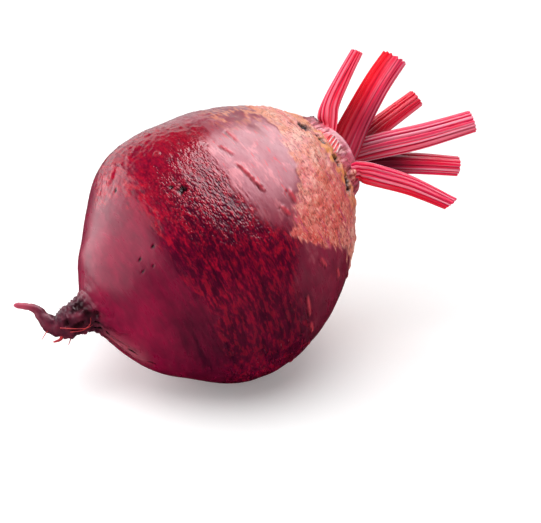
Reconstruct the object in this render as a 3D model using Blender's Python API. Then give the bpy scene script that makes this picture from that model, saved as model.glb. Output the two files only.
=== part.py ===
"""A whole beetroot lying on its side: the root with its curled tap root, and the cut leaf stalks on its crown."""

import math

import bmesh
import bpy
from mathutils import Matrix, Vector, noise

# Sizes are in millimetres in the lists below, and MM turns them into metres.
MM = 0.001

# How the root lies. Its own frame has x along the axis to the crown, y to the far side and z to the upper side.
VIEW_TILT = math.radians(25)
RISE = math.radians(32.6)
TURN_AWAY = math.radians(15)
ROOT_CENTRE = Vector((-10.46, -5.27, 40.5)) * MM

# The rest spot: what would reach below the floor is flat, and the skin rolls into it over this height.
REST_BLEND = 1.0 * MM

GAP = 0.3 * MM

# The crown is a short drum whose centre is this far above the axis.
CROWN_UP = 3.0
CROWN_TOP = 46.4
CROWN_EDGE_DROP = 0.7
CROWN_RADIUS = 12.6

# Turned outline from the drum's edge, over the groove and the corky lip, to where the smooth skin starts.
# Each point is distance along the axis, height of the ring's centre above the axis, and radius.
CROWN_OUTLINE = [
    (45.7, 3.0, 12.6),
    (44.6, 3.0, 13.3),
    (43.0, 3.0, 13.6),
    (41.4, 3.0, 13.7),
    (40.7, 3.0, 14.5),
    (41.3, 3.0, 15.6),
    (40.9, 3.0, 17.1),
]

# The smooth outline of the swollen root, from the shoulder to where the tap root leaves it.
BODY_OUTLINE = [
    (40.9, 3.0, 17.1),
    (38.0, 2.6, 20.6),
    (32.3, 1.5, 26.8),
    (25.0, 0.5, 31.9),
    (17.4, -0.3, 35.9),
    (8.0, -0.9, 39.2),
    (-2.0, -1.0, 40.9),
    (-12.4, -0.7, 40.3),
    (-20.5, -0.6, 36.8),
    (-27.5, -0.9, 30.7),
    (-33.8, -1.5, 24.5),
    (-38.3, -1.1, 19.2),
    (-41.6, -0.6, 13.4),
    (-43.4, 0.6, 9.2),
]

# The tap root curls up and ends in a thin point.
TAIL_OUTLINE = [
    (-43.4, 0.6, 9.2),
    (-45.2, 2.6, 6.3),
    (-49.0, 3.3, 5.0),
    (-52.8, 3.8, 4.3),
    (-55.6, 5.5, 2.9),
    (-56.7, 8.2, 2.0),
    (-56.9, 10.8, 1.55),
    (-57.7, 12.6, 1.2),
    (-59.3, 14.1, 1.0),
    (-61.2, 15.6, 0.85),
    (-61.9, 16.2, 0.45),
]

SEGMENTS = 60
CROWN_TOP_RINGS = 3
BODY_RINGS = 34
TAIL_RINGS = 24

# Relief of the skin: how high it stands, and how fast it changes for each millimetre along the axis
# and for each unit round the ring. The shift picks another stretch of the same noise.
LOBES = {"height": 0.7, "along": 0.03, "round": 1.1, "shift": 0}
GROWTH = {"height": 0.35, "along": 0.21, "round": 1.6, "shift": 7}
SHOULDER = {"height": 0.55, "along": 0.3, "round": 0.2, "shift": 3}
GROOVE = {"depth": 0.4, "pits": 1.1, "round": 3.1, "shift": 5, "along": 41.8}
COLLAR = {"height": 0.35, "folds": 9, "shift": 0.6}
WRINKLE = {"height": 0.05, "along": 3.1, "sway": 1.4, "round": 1.2}
LUMPS = {"height": 0.09, "along": 0.4, "round": 1.5}

# Where each relief fades in: from and to, along the axis or in radius.
SKIN_RADII = (3, 16)
SHOULDER_ALONG = (24, 34)
SHOULDER_RADII = (13, 16)
COLLAR_ALONG = (42.5, 44.5)
COLLAR_RADII = (9, 12)
GROOVE_REACH = (2.2, 0.4)
GROOVE_RADII = (16, 15)
TAIL_ALONG = (-45, -49)

# Along this stretch the rings turn from upright to crossing the tap root's own line.
TURNING_ALONG = (-46, -52)

# A bump where a side root broke off at the start of the tap root, on its near side.
KNOB_PLACE = (-49.4, -5.6, 2.0)
KNOB_REACH = 2.6
KNOB_HEIGHT = 1.1

# The way a curve runs is taken over this share of it, to each side of a place.
RUN_SHARE = 0.02

# From the last ring to the very tip, as (along, away, up).
TIP_STEP = (-0.25, 0, 0.2)

# Leaf stalks: the centre line as (along, away, up), the width and depth at its start, middle and end,
# the way its outer face looks as (away, up), and how far the knife's cut leans across the width.
STALKS = {
    "stalk_1": {
        "line": [(45.5, -6.8, 9.8), (49.4, -7.6, 15.6), (57.9, -8.6, 21.2), (66.5, -9.5, 26.1)],
        "width": (8.4, 6.2, 4.4),
        "depth": (5.0, 4.8, 3.7),
        "face": (-0.55, 0.83),
        "cut_lean": 0.05,
    },
    "stalk_2": {
        "line": [(45.8, -3.0, 1.8), (55.0, -2.4, 7.7), (68.1, -2.4, 14.7), (78.4, -2.8, 19.1)],
        "width": (10.8, 9.0, 8.3),
        "depth": (4.8, 5.6, 5.3),
        "face": (-1.0, 0.1),
        "cut_lean": 0.1,
    },
    "stalk_3": {
        "line": [(45.8, 7.9, 3.8), (57.0, 8.8, 3.2), (69.0, 10.6, 4.1), (83.4, 13.4, 5.2)],
        "width": (6.0, 7.4, 6.8),
        "depth": (4.4, 5.8, 5.4),
        "face": (0.8, 0.6),
        "cut_lean": -0.3,
    },
    "stalk_4": {
        "line": [(45.9, 2.5, 2.8), (58.0, 2.6, -0.6), (74.0, 2.8, -5.9), (90.8, 2.4, -10.5)],
        "width": (7.0, 8.4, 7.4),
        "depth": (4.2, 5.6, 5.2),
        "face": (-0.92, -0.38),
        "cut_lean": 0.1,
    },
    "stalk_5": {
        "line": [(45.6, 6.2, -5.2), (56.5, 7.6, -4.6), (69.1, 8.8, -11.7), (81.8, 11.0, -19.9)],
        "width": (6.0, 7.2, 6.6),
        "depth": (4.6, 5.6, 5.2),
        "face": (-0.8, -0.6),
        "cut_lean": 0.05,
    },
    "stalk_6": {
        "line": [(45.4, -8.6, -3.4), (49.6, -10.0, -8.2), (57.0, -10.8, -16.6), (64.9, -11.0, -28.0)],
        "width": (7.8, 7.3, 4.8),
        "depth": (4.6, 5.0, 3.9),
        "face": (-0.6, -0.8),
        "cut_lean": -0.5,
    },
    "stalk_stump": {
        "line": [(45.8, 2.8, 12.2), (46.3, 3.0, 13.6), (46.7, 3.3, 14.9), (47.1, 3.6, 16.1)],
        "width": (5.2, 5.0, 4.6),
        "depth": (3.6, 3.4, 3.2),
        "face": (0.3, 0.95),
        "cut_lean": 0.2,
    },
}
RIBS = 8
RIB_SIDES = 3
RIB_DEPTH = 0.14

# A stalk's inner side is flatter than its outer side by this share.
INNER_SHARE = 0.72
STALK_RINGS = 12
STUMP_RINGS = 5

# The first stretch of a stalk, over which its rings turn from lying flat on the crown to crossing the stalk.
SEATED = 9.0

# Each ring of a stalk stays at least this much further off the crown than the one before it.
SEAT_RISE = 0.1

# Rootlets on the underside of the tap root: start, bend and tip as (along, away, up), and the thickness there.
ROOTLETS = [
    ((-56.0, -0.8, 4.8), (-58.4, -1.0, 4.4), (-60.9, -1.2, 3.2), 0.7),
    ((-54.2, -0.8, 1.8), (-56.0, -1.0, 0.5), (-58.2, -1.2, 0.9), 1.5),
    ((-51.8, 0.4, 0.4), (-53.4, 0.4, -1.1), (-54.8, 0.2, -2.2), 0.7),
]
ROOTLET_RINGS = 5
ROOTLET_SIDES = 6
ROOTLET_TAPER = 0.7

ROOT_COLOUR = (0.24, 0.02, 0.06, 1)
STALK_COLOUR = (0.52, 0.02, 0.07, 1)


def clear_scene():
    for obj in list(bpy.data.objects):
        bpy.data.objects.remove(obj)


def make_material(name, colour, roughness):
    material = bpy.data.materials.new(name)
    material.use_nodes = True
    shader = material.node_tree.nodes["Principled BSDF"]
    shader.inputs["Base Color"].default_value = colour
    shader.inputs["Roughness"].default_value = roughness
    shader.inputs["Metallic"].default_value = 0
    material.diffuse_color = colour
    return material


def lying():
    """The turn from the root's own frame to the world."""
    return (
        Matrix.Rotation(-VIEW_TILT, 3, "X")
        @ Matrix.Rotation(-RISE, 3, "Y")
        @ Matrix.Rotation(TURN_AWAY, 3, "Z")
    )


def through(points, share):
    """The place at this share, 0 to 1, of a smooth curve through the points, spaced evenly by point."""
    last = len(points) - 1
    at = min(max(share, 0), 1) * last
    k = min(int(at), last - 1)
    t = at - k
    before, start, end, after = (
        Vector(points[min(max(i, 0), last)]) for i in (k - 1, k, k + 1, k + 2)
    )
    return 0.5 * (
        2 * start
        + (end - before) * t
        + (2 * before - 5 * start + 4 * end - after) * t**2
        + (3 * start - before - 3 * end + after) * t**3
    )


def run_at(points, share):
    """The way the smooth curve through the points runs at this share of it."""
    return (through(points, share + RUN_SHARE) - through(points, share - RUN_SHARE)).normalized()


def crown_height(radius):
    """How far along the axis the drum's top is, at this distance from its centre."""
    return CROWN_TOP - CROWN_EDGE_DROP * (radius / CROWN_RADIUS) ** 2


def smooth_step(low, high, value):
    t = min(max((value - low) / (high - low), 0), 1)
    return t * t * (3 - 2 * t)


def root_rings():
    """Rings from the crown's middle to the tip of the tap root, each (along, up, radius)."""
    rings = []
    for k in range(1, CROWN_TOP_RINGS + 1):
        radius = CROWN_RADIUS * k / (CROWN_TOP_RINGS + 1)
        rings.append((crown_height(radius), CROWN_UP, radius))
    rings += CROWN_OUTLINE[:-1]
    for k in range(BODY_RINGS):
        rings.append(tuple(through(BODY_OUTLINE, k / BODY_RINGS)))
    for k in range(TAIL_RINGS + 1):
        rings.append(tuple(through(TAIL_OUTLINE, k / TAIL_RINGS)))
    return rings


def rough(spec, along, side):
    """Smooth noise, -1 to 1, at a place along the axis and on the side of a ring."""
    return noise.noise(Vector((along * spec["along"], spec["shift"], 0)) + side * spec["round"])


def relief(along, turn, radius):
    """How far the skin stands out from the turned outline, in millimetres."""
    side = Vector((math.cos(turn), math.sin(turn), 0))
    lobes = LOBES["height"] * rough(LOBES, along, side)
    growth = GROWTH["height"] * rough(GROWTH, along, side)
    out = smooth_step(*SKIN_RADII, radius) * (lobes + growth)
    shoulder = smooth_step(*SHOULDER_ALONG, along) * smooth_step(*SHOULDER_RADII, radius)
    out += shoulder * SHOULDER["height"] * rough(SHOULDER, along, side * radius)
    off = abs(along - GROOVE["along"])
    groove = smooth_step(*GROOVE_REACH, off) * smooth_step(*GROOVE_RADII, radius)
    pits = noise.noise(side * GROOVE["round"] + Vector((0, 0, GROOVE["shift"])))
    out -= groove * max(0, GROOVE["depth"] + GROOVE["pits"] * pits)
    collar = smooth_step(*COLLAR_ALONG, along) * smooth_step(*COLLAR_RADII, radius)
    out += collar * COLLAR["height"] * math.cos(COLLAR["folds"] * turn + COLLAR["shift"])
    sway = WRINKLE["sway"] * noise.noise(side * WRINKLE["round"])
    wrinkle = math.sin(along * WRINKLE["along"] + sway)
    lumps = noise.noise(side * LUMPS["round"] + Vector((0, 0, along * LUMPS["along"])))
    folds = WRINKLE["height"] * wrinkle + LUMPS["height"] * lumps
    return out + smooth_step(*TAIL_ALONG, along) * radius * folds


def knob(point):
    """How far the knob on the tap root lifts the skin here."""
    away = (point - Vector(KNOB_PLACE)).length
    return KNOB_HEIGHT * smooth_step(KNOB_REACH, 0, away)


def rest_on_floor(mesh, turn):
    """Flattens what would reach below the floor, with the skin rolling into the flat."""
    back = turn.inverted()
    for vertex in mesh.verts:
        place = turn @ vertex.co + ROOT_CENTRE
        if place.z >= REST_BLEND:
            continue
        t = max(place.z, 0) / REST_BLEND
        place.z = REST_BLEND * (2 * t**2 - t**3)
        vertex.co = back @ (place - ROOT_CENTRE)


def loft(rings, sides, first, last):
    """One closed skin over rings of points: a sphere whose rows are moved onto them, and its poles to first and last."""
    mesh = bmesh.new()
    bmesh.ops.create_uvsphere(mesh, u_segments=sides, v_segments=len(rings) + 1, radius=1)
    for vertex in mesh.verts:
        polar = math.acos(min(max(vertex.co.z, -1), 1)) / math.pi
        row = round(polar * (len(rings) + 1))
        turn = math.atan2(vertex.co.y, vertex.co.x) % math.tau
        column = round(turn / math.tau * sides) % sides
        if row == 0:
            vertex.co = first
        elif row == len(rings) + 1:
            vertex.co = last
        else:
            vertex.co = rings[row - 1][column]
    if mesh.calc_volume(signed=True) < 0:
        bmesh.ops.reverse_faces(mesh, faces=mesh.faces)
    return mesh


def finish(name, mesh, material, home):
    data = bpy.data.meshes.new(name)
    bmesh.ops.triangulate(mesh, faces=mesh.faces)
    mesh.to_mesh(data)
    mesh.free()
    data.shade_smooth()
    data.materials.append(material)
    obj = bpy.data.objects.new(name, data)
    home["collection"].objects.link(obj)
    obj.parent = home["pose"]
    return obj


def root_skin():
    """The swollen root, its crown and its tap root as one skin."""
    rings = root_rings()
    rows = []
    for k, (along, up, radius) in enumerate(rings):
        before = rings[max(k - 1, 0)]
        after = rings[min(k + 1, len(rings) - 1)]
        tail = smooth_step(*TURNING_ALONG, along)
        run = Vector((before[0] - after[0], 0, before[1] - after[1])).normalized()
        run = Vector((1, 0, 0)).lerp(run, tail).normalized()
        rise = Vector((-run.z, 0, run.x))
        row = []
        for column in range(SEGMENTS):
            turn = math.tau * column / SEGMENTS
            out = Vector((0, math.cos(turn), 0)) + rise * math.sin(turn)
            size = radius + relief(along, turn, radius)
            point = Vector((along, 0, up)) + out * size
            point += out * knob(point)
            row.append(point * MM)
        rows.append(row)
    first = Vector((CROWN_TOP, 0, CROWN_UP)) * MM
    along, up, _ = TAIL_OUTLINE[-1]
    last = (Vector((along, 0, up)) + Vector(TIP_STEP)) * MM
    return loft(rows, SEGMENTS, first, last)


def rootlet_skin(start, bend, tip, thick):
    rows = []
    for k in range(ROOTLET_RINGS):
        share = k / (ROOTLET_RINGS - 1)
        centre = through([start, bend, tip], share)
        run = run_at([start, bend, tip], share)
        side = run.cross(Vector((0, 0, 1))).normalized()
        up = side.cross(run)
        radius = thick / 2 * (1 - ROOTLET_TAPER * share)
        turns = (math.tau * column / ROOTLET_SIDES for column in range(ROOTLET_SIDES))
        rows.append([(centre + radius * (side * math.cos(a) + up * math.sin(a))) * MM for a in turns])
    return loft(rows, ROOTLET_SIDES, Vector(start) * MM, Vector(tip) * MM)


def join_rootlets(root, material, home):
    """Joins the rootlets to the root in one Boolean union, and removes their own objects."""
    helpers = bpy.data.collections.new("rootlets")
    bpy.context.scene.collection.children.link(helpers)
    for k, rootlet in enumerate(ROOTLETS, 1):
        obj = finish(f"rootlet_{k}", rootlet_skin(*rootlet), material, home)
        home["collection"].objects.unlink(obj)
        helpers.objects.link(obj)
        obj.hide_render = True
        obj.display_type = "WIRE"
    union = root.modifiers.new("rootlets", "BOOLEAN")
    union.operation = "UNION"
    union.operand_type = "COLLECTION"
    union.collection = helpers
    union.solver = "EXACT"
    bpy.context.view_layer.update()
    graph = bpy.context.evaluated_depsgraph_get()
    joined = bpy.data.meshes.new_from_object(root.evaluated_get(graph))
    root.modifiers.clear()
    root.data = joined
    for obj in list(helpers.objects):
        bpy.data.objects.remove(obj)
    bpy.data.collections.remove(helpers)


def make_root(home):
    material = make_material("root_skin", ROOT_COLOUR, 0.4)
    mesh = root_skin()
    rest_on_floor(mesh, home["turn"])
    root = finish("beet_root", mesh, material, home)
    join_rootlets(root, material, home)
    return root


def rib(turn):
    """The ribs along a stalk: 1 on their backs, less in the furrows between."""
    return 1 - RIB_DEPTH * (1 + math.cos(RIBS * turn)) / 2


def stalk_skin(spec, ring_count):
    line = spec["line"]
    length = (Vector(line[-1]) - Vector(line[0])).length
    face = Vector((0, *spec["face"])).normalized()
    rows = []
    for k in range(ring_count):
        share = k / (ring_count - 1)
        centre = through(line, share)
        run = run_at(line, share)
        run = Vector((1, 0, 0)).lerp(run, smooth_step(0, SEATED, share * length)).normalized()
        across = run.cross(face).normalized()
        out = across.cross(run)
        sizes = ((w, d, 0) for w, d in zip(spec["width"], spec["depth"]))
        width, depth, _ = through(list(sizes), share)
        row = []
        for column in range(RIBS * RIB_SIDES):
            turn = math.tau * column / (RIBS * RIB_SIDES)
            size = rib(turn)
            inner = INNER_SHARE if math.sin(turn) < 0 else 1.0
            side = width / 2 * size * math.cos(turn)
            point = centre + across * side + out * depth / 2 * size * inner * math.sin(turn)
            seat = crown_height(math.hypot(point.y, point.z - CROWN_UP)) + GAP / MM
            point.x = seat if k == 0 else max(point.x, seat + SEAT_RISE * k)
            if k == ring_count - 1:
                point += run * side * spec["cut_lean"]
            row.append(point * MM)
        rows.append(row)
    first = sum(rows[0], Vector()) / len(rows[0])
    last = sum(rows[-1], Vector()) / len(rows[-1])
    return loft(rows, RIBS * RIB_SIDES, first, last)


def make_stalks(home):
    material = make_material("stalk_skin", STALK_COLOUR, 0.35)
    for name, spec in STALKS.items():
        ring_count = STUMP_RINGS if name == "stalk_stump" else STALK_RINGS
        finish(name, stalk_skin(spec, ring_count), material, home)


def main():
    clear_scene()
    collection = bpy.data.collections.new("beetroot")
    bpy.context.scene.collection.children.link(collection)
    pose = bpy.data.objects.new("beetroot_pose", None)
    collection.objects.link(pose)
    turn = lying()
    pose.location = ROOT_CENTRE
    pose.rotation_euler = turn.to_euler()
    home = {"collection": collection, "pose": pose, "turn": turn}
    make_root(home)
    make_stalks(home)


main()
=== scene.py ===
"""The looks of a whole beetroot: its skin, crown, rootlets and cut leaf stalks, on a plain pale floor."""

import itertools
import math

import bpy
import numpy as np
from bpy.props import FloatProperty, FloatVectorProperty, PointerProperty
from mathutils import Matrix, Vector, noise


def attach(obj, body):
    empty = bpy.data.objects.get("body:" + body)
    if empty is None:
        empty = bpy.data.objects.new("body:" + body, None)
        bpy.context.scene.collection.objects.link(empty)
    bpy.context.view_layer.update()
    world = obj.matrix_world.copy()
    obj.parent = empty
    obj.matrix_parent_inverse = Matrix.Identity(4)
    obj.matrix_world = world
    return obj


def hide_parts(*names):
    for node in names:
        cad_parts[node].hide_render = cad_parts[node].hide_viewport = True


bl_info = {
    "name": "Beetroot",
    "version": (1, 0, 0),
    "blender": (4, 5, 0),
    "location": "View3D > Sidebar > Beetroot",
    "description": "Models the skin, crown, rootlets and leaf stalks of a beetroot round its solids",
    "category": "Add Mesh",
}

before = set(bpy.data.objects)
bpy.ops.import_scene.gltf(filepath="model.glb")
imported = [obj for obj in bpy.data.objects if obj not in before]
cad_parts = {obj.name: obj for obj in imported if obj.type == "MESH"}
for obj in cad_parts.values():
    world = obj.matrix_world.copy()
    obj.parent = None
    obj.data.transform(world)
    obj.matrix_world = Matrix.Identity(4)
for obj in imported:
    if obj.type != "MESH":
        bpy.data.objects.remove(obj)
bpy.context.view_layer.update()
bpy.ops.object.select_all(action="DESELECT")

# Lists below are in millimetres, in the root's own frame unless they say otherwise:
# x runs along the axis to the crown, y to the far side and z to the upper side.
MM = 0.001

# How the root lies.
VIEW_TILT = math.radians(25)
RISE = math.radians(32.6)
TURN_AWAY = math.radians(15)
ROOT_CENTRE = Vector((-10.46, -5.27, 40.5)) * MM
LYING = (
    Matrix.Rotation(-VIEW_TILT, 3, "X")
    @ Matrix.Rotation(-RISE, 3, "Y")
    @ Matrix.Rotation(TURN_AWAY, 3, "Z")
)

# The skin rolls into its flat rest spot over this height.
REST_BLEND = 1.0

# The crown is a short drum whose centre is this far above the axis.
CROWN_UP = 3.0
CROWN_TOP = 46.4
CROWN_EDGE_DROP = 0.7
CROWN_RADIUS = 12.6

# Each point of an outline is distance along the axis, height of the ring's centre above the axis, and radius.
GROOVE_OUTLINE = [
    (38.6, 3.0, 11.0),
    (38.3, 3.0, 13.2),
    (38.7, 3.0, 14.2),
    (40.2, 3.0, 14.7),
    (41.2, 3.0, 15.4),
    (41.2, 3.0, 16.3),
    (40.9, 3.0, 17.1),
]
BODY_OUTLINE = [
    (40.9, 3.0, 17.1),
    (38.0, 2.6, 20.6),
    (32.3, 1.5, 26.8),
    (25.0, 0.5, 31.9),
    (17.4, -0.3, 35.9),
    (8.0, -0.9, 39.2),
    (-2.0, -1.0, 40.9),
    (-12.4, -0.7, 40.3),
    (-20.5, -0.6, 36.8),
    (-27.5, -0.9, 30.7),
    (-33.8, -1.5, 24.5),
    (-38.3, -1.1, 19.2),
    (-41.6, -0.6, 13.4),
    (-43.4, 0.6, 9.2),
]
TAIL_OUTLINE = [
    (-43.4, 0.6, 9.2),
    (-45.2, 2.6, 6.3),
    (-49.0, 3.3, 5.0),
    (-52.8, 3.8, 4.3),
    (-55.6, 5.5, 2.9),
    (-56.7, 8.2, 2.0),
    (-56.9, 10.8, 1.55),
    (-57.7, 12.6, 1.2),
    (-59.3, 14.1, 1.0),
    (-61.2, 15.6, 0.85),
    (-61.9, 16.2, 0.45),
]
ROOT_COLUMNS = 400
UNDER_CROWN_ROWS = 2
GROOVE_ROWS = 16
BODY_ROWS = 178
TAIL_ROWS = 48

# Columns stand closer together round this turn, in degrees, by this share.
CLOSE_TURN = 168
CLOSE_SHARE = 0.34

# Rows of the body stand closer together round its middle by this share.
CLOSE_ROWS = 0.32

# Points nearer to each other than this, in metres, are one.
MERGE = 1e-7

# The fine relief is sunk by this much, so that it stays within the solid's form.
SKIN_INSET = 0.14

# Raised corky dashes: each end as (along, turn in degrees), then width and height.
DASHES = [
    ((8.2, 156), (9.9, 172), 0.48, 0.8),
    ((8.0, 144), (9.3, 151), 0.5, 0.4),
    ((13.2, 137), (13.4, 146), 0.45, 0.35),
    ((17.0, 178), (16.9, 184), 0.6, 0.4),
    ((11.9, 182), (13.0, 187), 0.6, 0.4),
]

# Pits as (along, turn in degrees, radius, depth).
PITS = [
    (-9.7, 154, 1.2, 0.7),
    (-11.6, 150, 0.7, 0.4),
    (-29.0, 164, 0.4, 0.2),
    (-24.7, 165, 0.5, 0.25),
    (-30.1, 170, 0.4, 0.2),
    (-27.5, 172, 0.35, 0.2),
    (-22.5, 126, 0.7, 0.3),
    (37.4, 146, 1.8, 1.7),
    (36.6, 141, 0.8, 0.9),
    (39.0, 156, 0.7, 0.8),
    (39.4, 160, 1.0, 1.1),
    (39.5, 164, 0.7, 0.8),
    (39.4, 181, 0.9, 1.2),
    (39.6, 184, 1.4, 1.7),
    (39.8, 188.5, 1.2, 1.8),
    (39.6, 204, 1.2, 1.6),
    (39.4, 209.5, 2.0, 2.3),
    (39.2, 215, 1.3, 1.6),
    (-45.1, 216, 0.7, 0.4),
    (-45.4, 240, 0.9, 0.5),
    (-44.4, 234, 0.7, 0.4),
    (-43.3, 262, 0.9, 0.5),
    (-41.2, 246, 0.7, 0.3),
    (-38.0, 252, 0.6, 0.3),
]

# Where the groove round the crown is open, as (turn, half width), in degrees. Elsewhere cork fills it.
OPEN_GROOVE = [
    (147, 5),
    (158, 3),
    (186, 7),
    (208, 9),
    (236, 7),
    (262, 12),
    (301, 6),
    (334, 10),
    (17, 7),
    (62, 11),
    (96, 6),
]

# Low round bumps with a dent in their middle, as (along, turn in degrees, radius, height).
BUMPS = [
    (-20.9, 117, 1.5, 0.6),
    (-17.6, 113, 0.9, 0.35),
    (-13.2, 119, 1.2, 0.5),
    (-11.4, 113, 0.9, 0.4),
    (-9.9, 118, 1.1, 0.5),
    (-8.0, 131, 1.1, 0.3),
    (-4.5, 112, 1.0, 0.4),
]

# Hollows where the tap root leaves the root, as (along, away, up), reach each way and depth.
HOLLOWS = [
    ((-47.2, -4.9, 5.9), (2.4, 2.0, 1.5), 0.6),
    ((-46.1, -6.0, 2.7), (1.2, 2.0, 2.4), 0.6),
    ((-44.4, -7.4, 0.8), (1.1, 2.0, 1.6), 0.4),
    ((-49.8, -4.6, 0.9), (2.8, 2.0, 1.0), 0.5),
    ((-52.4, -4.3, 3.4), (1.2, 2.0, 1.2), 0.3),
]

# The knob on the tap root as its place, radius and height.
TAIL_KNOB = ((-48.7, -5.3, 3.1), 2.4, 1.1)

# The corky shoulder starts here along the axis, less its tongues, each as (reach, turn, half width).
CORK_START = 27.5
CORK_TONGUES = [(15, 197, 19), (7, 330, 28), (5, 40, 24)]

# A tan patch reaches down from the shoulder round this turn, with its half width.
TAN_PLACE = (122, 13)

# The rough band round the root runs between these places along the axis, with its own tongues at each edge.
BAND_TOP = 3.0
BAND_TOP_TONGUES = [(6, 126, 12), (8, 197, 13)]
BAND_END = -21.5
BAND_END_TONGUES = [(5.5, 114, 14)]

# Flushed patches as (strength, turn, half width, along, reach).
FLUSHES = [(1.0, 131, 17, 1, 9), (0.7, 148, 14, -12, 8), (0.8, 20, 30, -4, 12)]

# Dark patches as (turn, half width), then the stretches along the axis over which they start and end. The
# first is partly the skin's own dark band and partly painted shade; the second is painted shade on the lower
# near side, where little light falls.
DARK_BAND_AND_SHADE = [(184, 20, (-28, -19), (8, -6)), (230, 42, (-37, -26), (20, 0))]

# Heights and depths of the finer relief, and the share of the skin that thin flakes cover.
GRAIN_HEIGHT = 0.035
FLAKE_HEIGHT = 0.03
FLAKE_SHARE = 0.4
KNOBBLE_HEIGHT = 0.3
TAN_HEIGHT = 0.06
TAN_ROUGHNESS = 0.22
CRACK_DEPTH = 0.3
FURROW_DEPTH = 0.2
FURROWS = 13

# How many smaller dashes are strewn over the rest of the root, from which turn and how far round.
STREWN_DASHES = 26
STREWN_FROM = 205
STREWN_OVER = 245

# The crown's drum, from its middle over its edge and down its wall into the groove.
CROWN_OUTLINE = [
    (46.4, 3.0, 0.8),
    (46.3, 3.0, 5.0),
    (46.0, 3.0, 9.5),
    (45.8, 3.0, 11.8),
    (45.2, 3.0, 12.7),
    (43.6, 3.0, 13.2),
    (41.6, 3.0, 13.6),
    (39.0, 3.0, 14.1),
    (37.6, 3.0, 14.2),
    (37.4, 3.0, 12.0),
    (37.4, 3.0, 2.0),
]
CROWN_COLUMNS = 360
CROWN_ROWS = 130

# White fibres on the collar's near side, each end as (along, turn in degrees).
TEETH = [
    ((44.6, 157), (42.0, 162)),
    ((44.7, 162), (41.9, 167.5)),
    ((44.7, 167), (41.9, 173)),
    ((44.5, 172.5), (42.0, 178.5)),
]

# A hollow lies beside each fibre, this many degrees before it.
TOOTH_GAP = 2.7

# Brown knobs on the collar as (along, turn in degrees, radius, height).
KNOBS = [(44.2, 214, 1.5, 0.9), (43.5, 222, 1.1, 0.5), (43.8, 80, 1.3, 0.6), (43.4, 310, 1.4, 0.6)]

# Red spots on the collar as (along, turn in degrees, radius).
RED_SPOTS = [
    (42.6, 143, 1.0),
    (43.0, 152, 0.9),
    (42.2, 160, 0.8),
    (42.0, 171, 0.8),
    (42.6, 60, 1.0),
    (42.4, 270, 1.1),
]

# The stub of an old leaf stands on the collar at this turn, with this half width and height.
SCAR_TURN = 80
SCAR_WIDTH = 13
SCAR_HEIGHT = 2.3

# Leaf stalks: the centre line as (along, away, up), the width and depth at its start, middle and end,
# the way its outer face looks as (away, up), and how far the knife's cut leans across the width.
# Then the number of ribs, how pale their backs are, as partly a painted highlight on the rib crests, how pink
# the skin is at one side and at the other, how dark its base is painted as shade, and how far the cut end is
# scalloped.
STALKS = {
    "stalk_1": {
        "line": [(45.5, -6.8, 9.8), (49.4, -7.6, 15.6), (57.9, -8.6, 21.2), (66.5, -9.5, 26.1)],
        "width": (8.4, 6.2, 4.4),
        "depth": (5.0, 4.8, 3.7),
        "face": (-0.55, 0.83),
        "cut_lean": 0.05,
        "ribs": 11,
        "pale": 0.55,
        "pink": (0.75, 0.35),
        "base": 0.0,
        "scallop": 0.2,
    },
    "stalk_2": {
        "line": [(45.8, -3.0, 1.8), (55.0, -2.4, 7.7), (68.1, -2.4, 14.7), (78.4, -2.8, 19.1)],
        "width": (10.8, 9.0, 8.3),
        "depth": (4.8, 5.6, 5.3),
        "face": (-1.0, 0.1),
        "cut_lean": 0.1,
        "ribs": 13,
        "pale": 0.55,
        "pink": (0.0, 0.75),
        "base": 0.6,
        "scallop": 1.0,
    },
    "stalk_3": {
        "line": [(45.8, 7.9, 3.8), (57.0, 8.8, 3.2), (69.0, 10.6, 4.1), (83.4, 13.4, 5.2)],
        "width": (6.0, 7.4, 6.8),
        "depth": (4.4, 5.8, 5.4),
        "face": (0.8, 0.6),
        "cut_lean": -0.3,
        "ribs": 12,
        "pale": 0.45,
        "pink": (0.5, 0.2),
        "base": 0.8,
        "scallop": 0.3,
    },
    "stalk_4": {
        "line": [(45.9, 2.5, 2.8), (58.0, 2.6, -0.6), (74.0, 2.8, -5.9), (90.8, 2.4, -10.5)],
        "width": (7.0, 8.4, 7.4),
        "depth": (4.2, 5.6, 5.2),
        "face": (-0.92, -0.38),
        "cut_lean": 0.1,
        "ribs": 15,
        "pale": 0.85,
        "pink": (0.95, 0.6),
        "base": 0.6,
        "scallop": 0.3,
    },
    "stalk_5": {
        "line": [(45.6, 6.2, -5.2), (56.5, 7.6, -4.6), (69.1, 8.8, -11.7), (81.8, 11.0, -19.9)],
        "width": (6.0, 7.2, 6.6),
        "depth": (4.6, 5.6, 5.2),
        "face": (-0.8, -0.6),
        "cut_lean": 0.05,
        "ribs": 13,
        "pale": 0.6,
        "pink": (0.5, 0.75),
        "base": 1.0,
        "scallop": 0.2,
    },
    "stalk_6": {
        "line": [(45.4, -8.6, -3.4), (49.6, -10.0, -8.2), (57.0, -10.8, -16.6), (64.9, -11.0, -28.0)],
        "width": (7.8, 7.3, 4.8),
        "depth": (4.6, 5.0, 3.9),
        "face": (-0.6, -0.8),
        "cut_lean": -0.5,
        "ribs": 15,
        "pale": 0.7,
        "pink": (0.9, 0.2),
        "base": 0.0,
        "scallop": 0.2,
    },
    "stalk_stump": {
        "line": [(45.8, 2.8, 12.2), (46.3, 3.0, 13.6), (46.7, 3.3, 14.9), (47.1, 3.6, 16.1)],
        "width": (5.2, 5.0, 4.6),
        "depth": (3.6, 3.4, 3.2),
        "face": (0.3, 0.95),
        "cut_lean": 0.2,
        "ribs": 9,
        "pale": 0.2,
        "pink": (0.1, 0.1),
        "base": 1.0,
        "scallop": 0.4,
    },
}
STALK_COLUMNS = 192
STALK_ROWS = 110
STUMP_ROWS = 30

# A stalk ends at this share of its centre line, and its inner side is flatter by this share.
STALK_END = 0.993
INNER_SHARE = 0.72

# The first stretch of a stalk, over which its rings turn from lying flat on the crown to crossing the stalk.
SEATED = 9.0

# Stalk bases are sunk this far into the crown.
SUNK = 1.5

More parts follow.
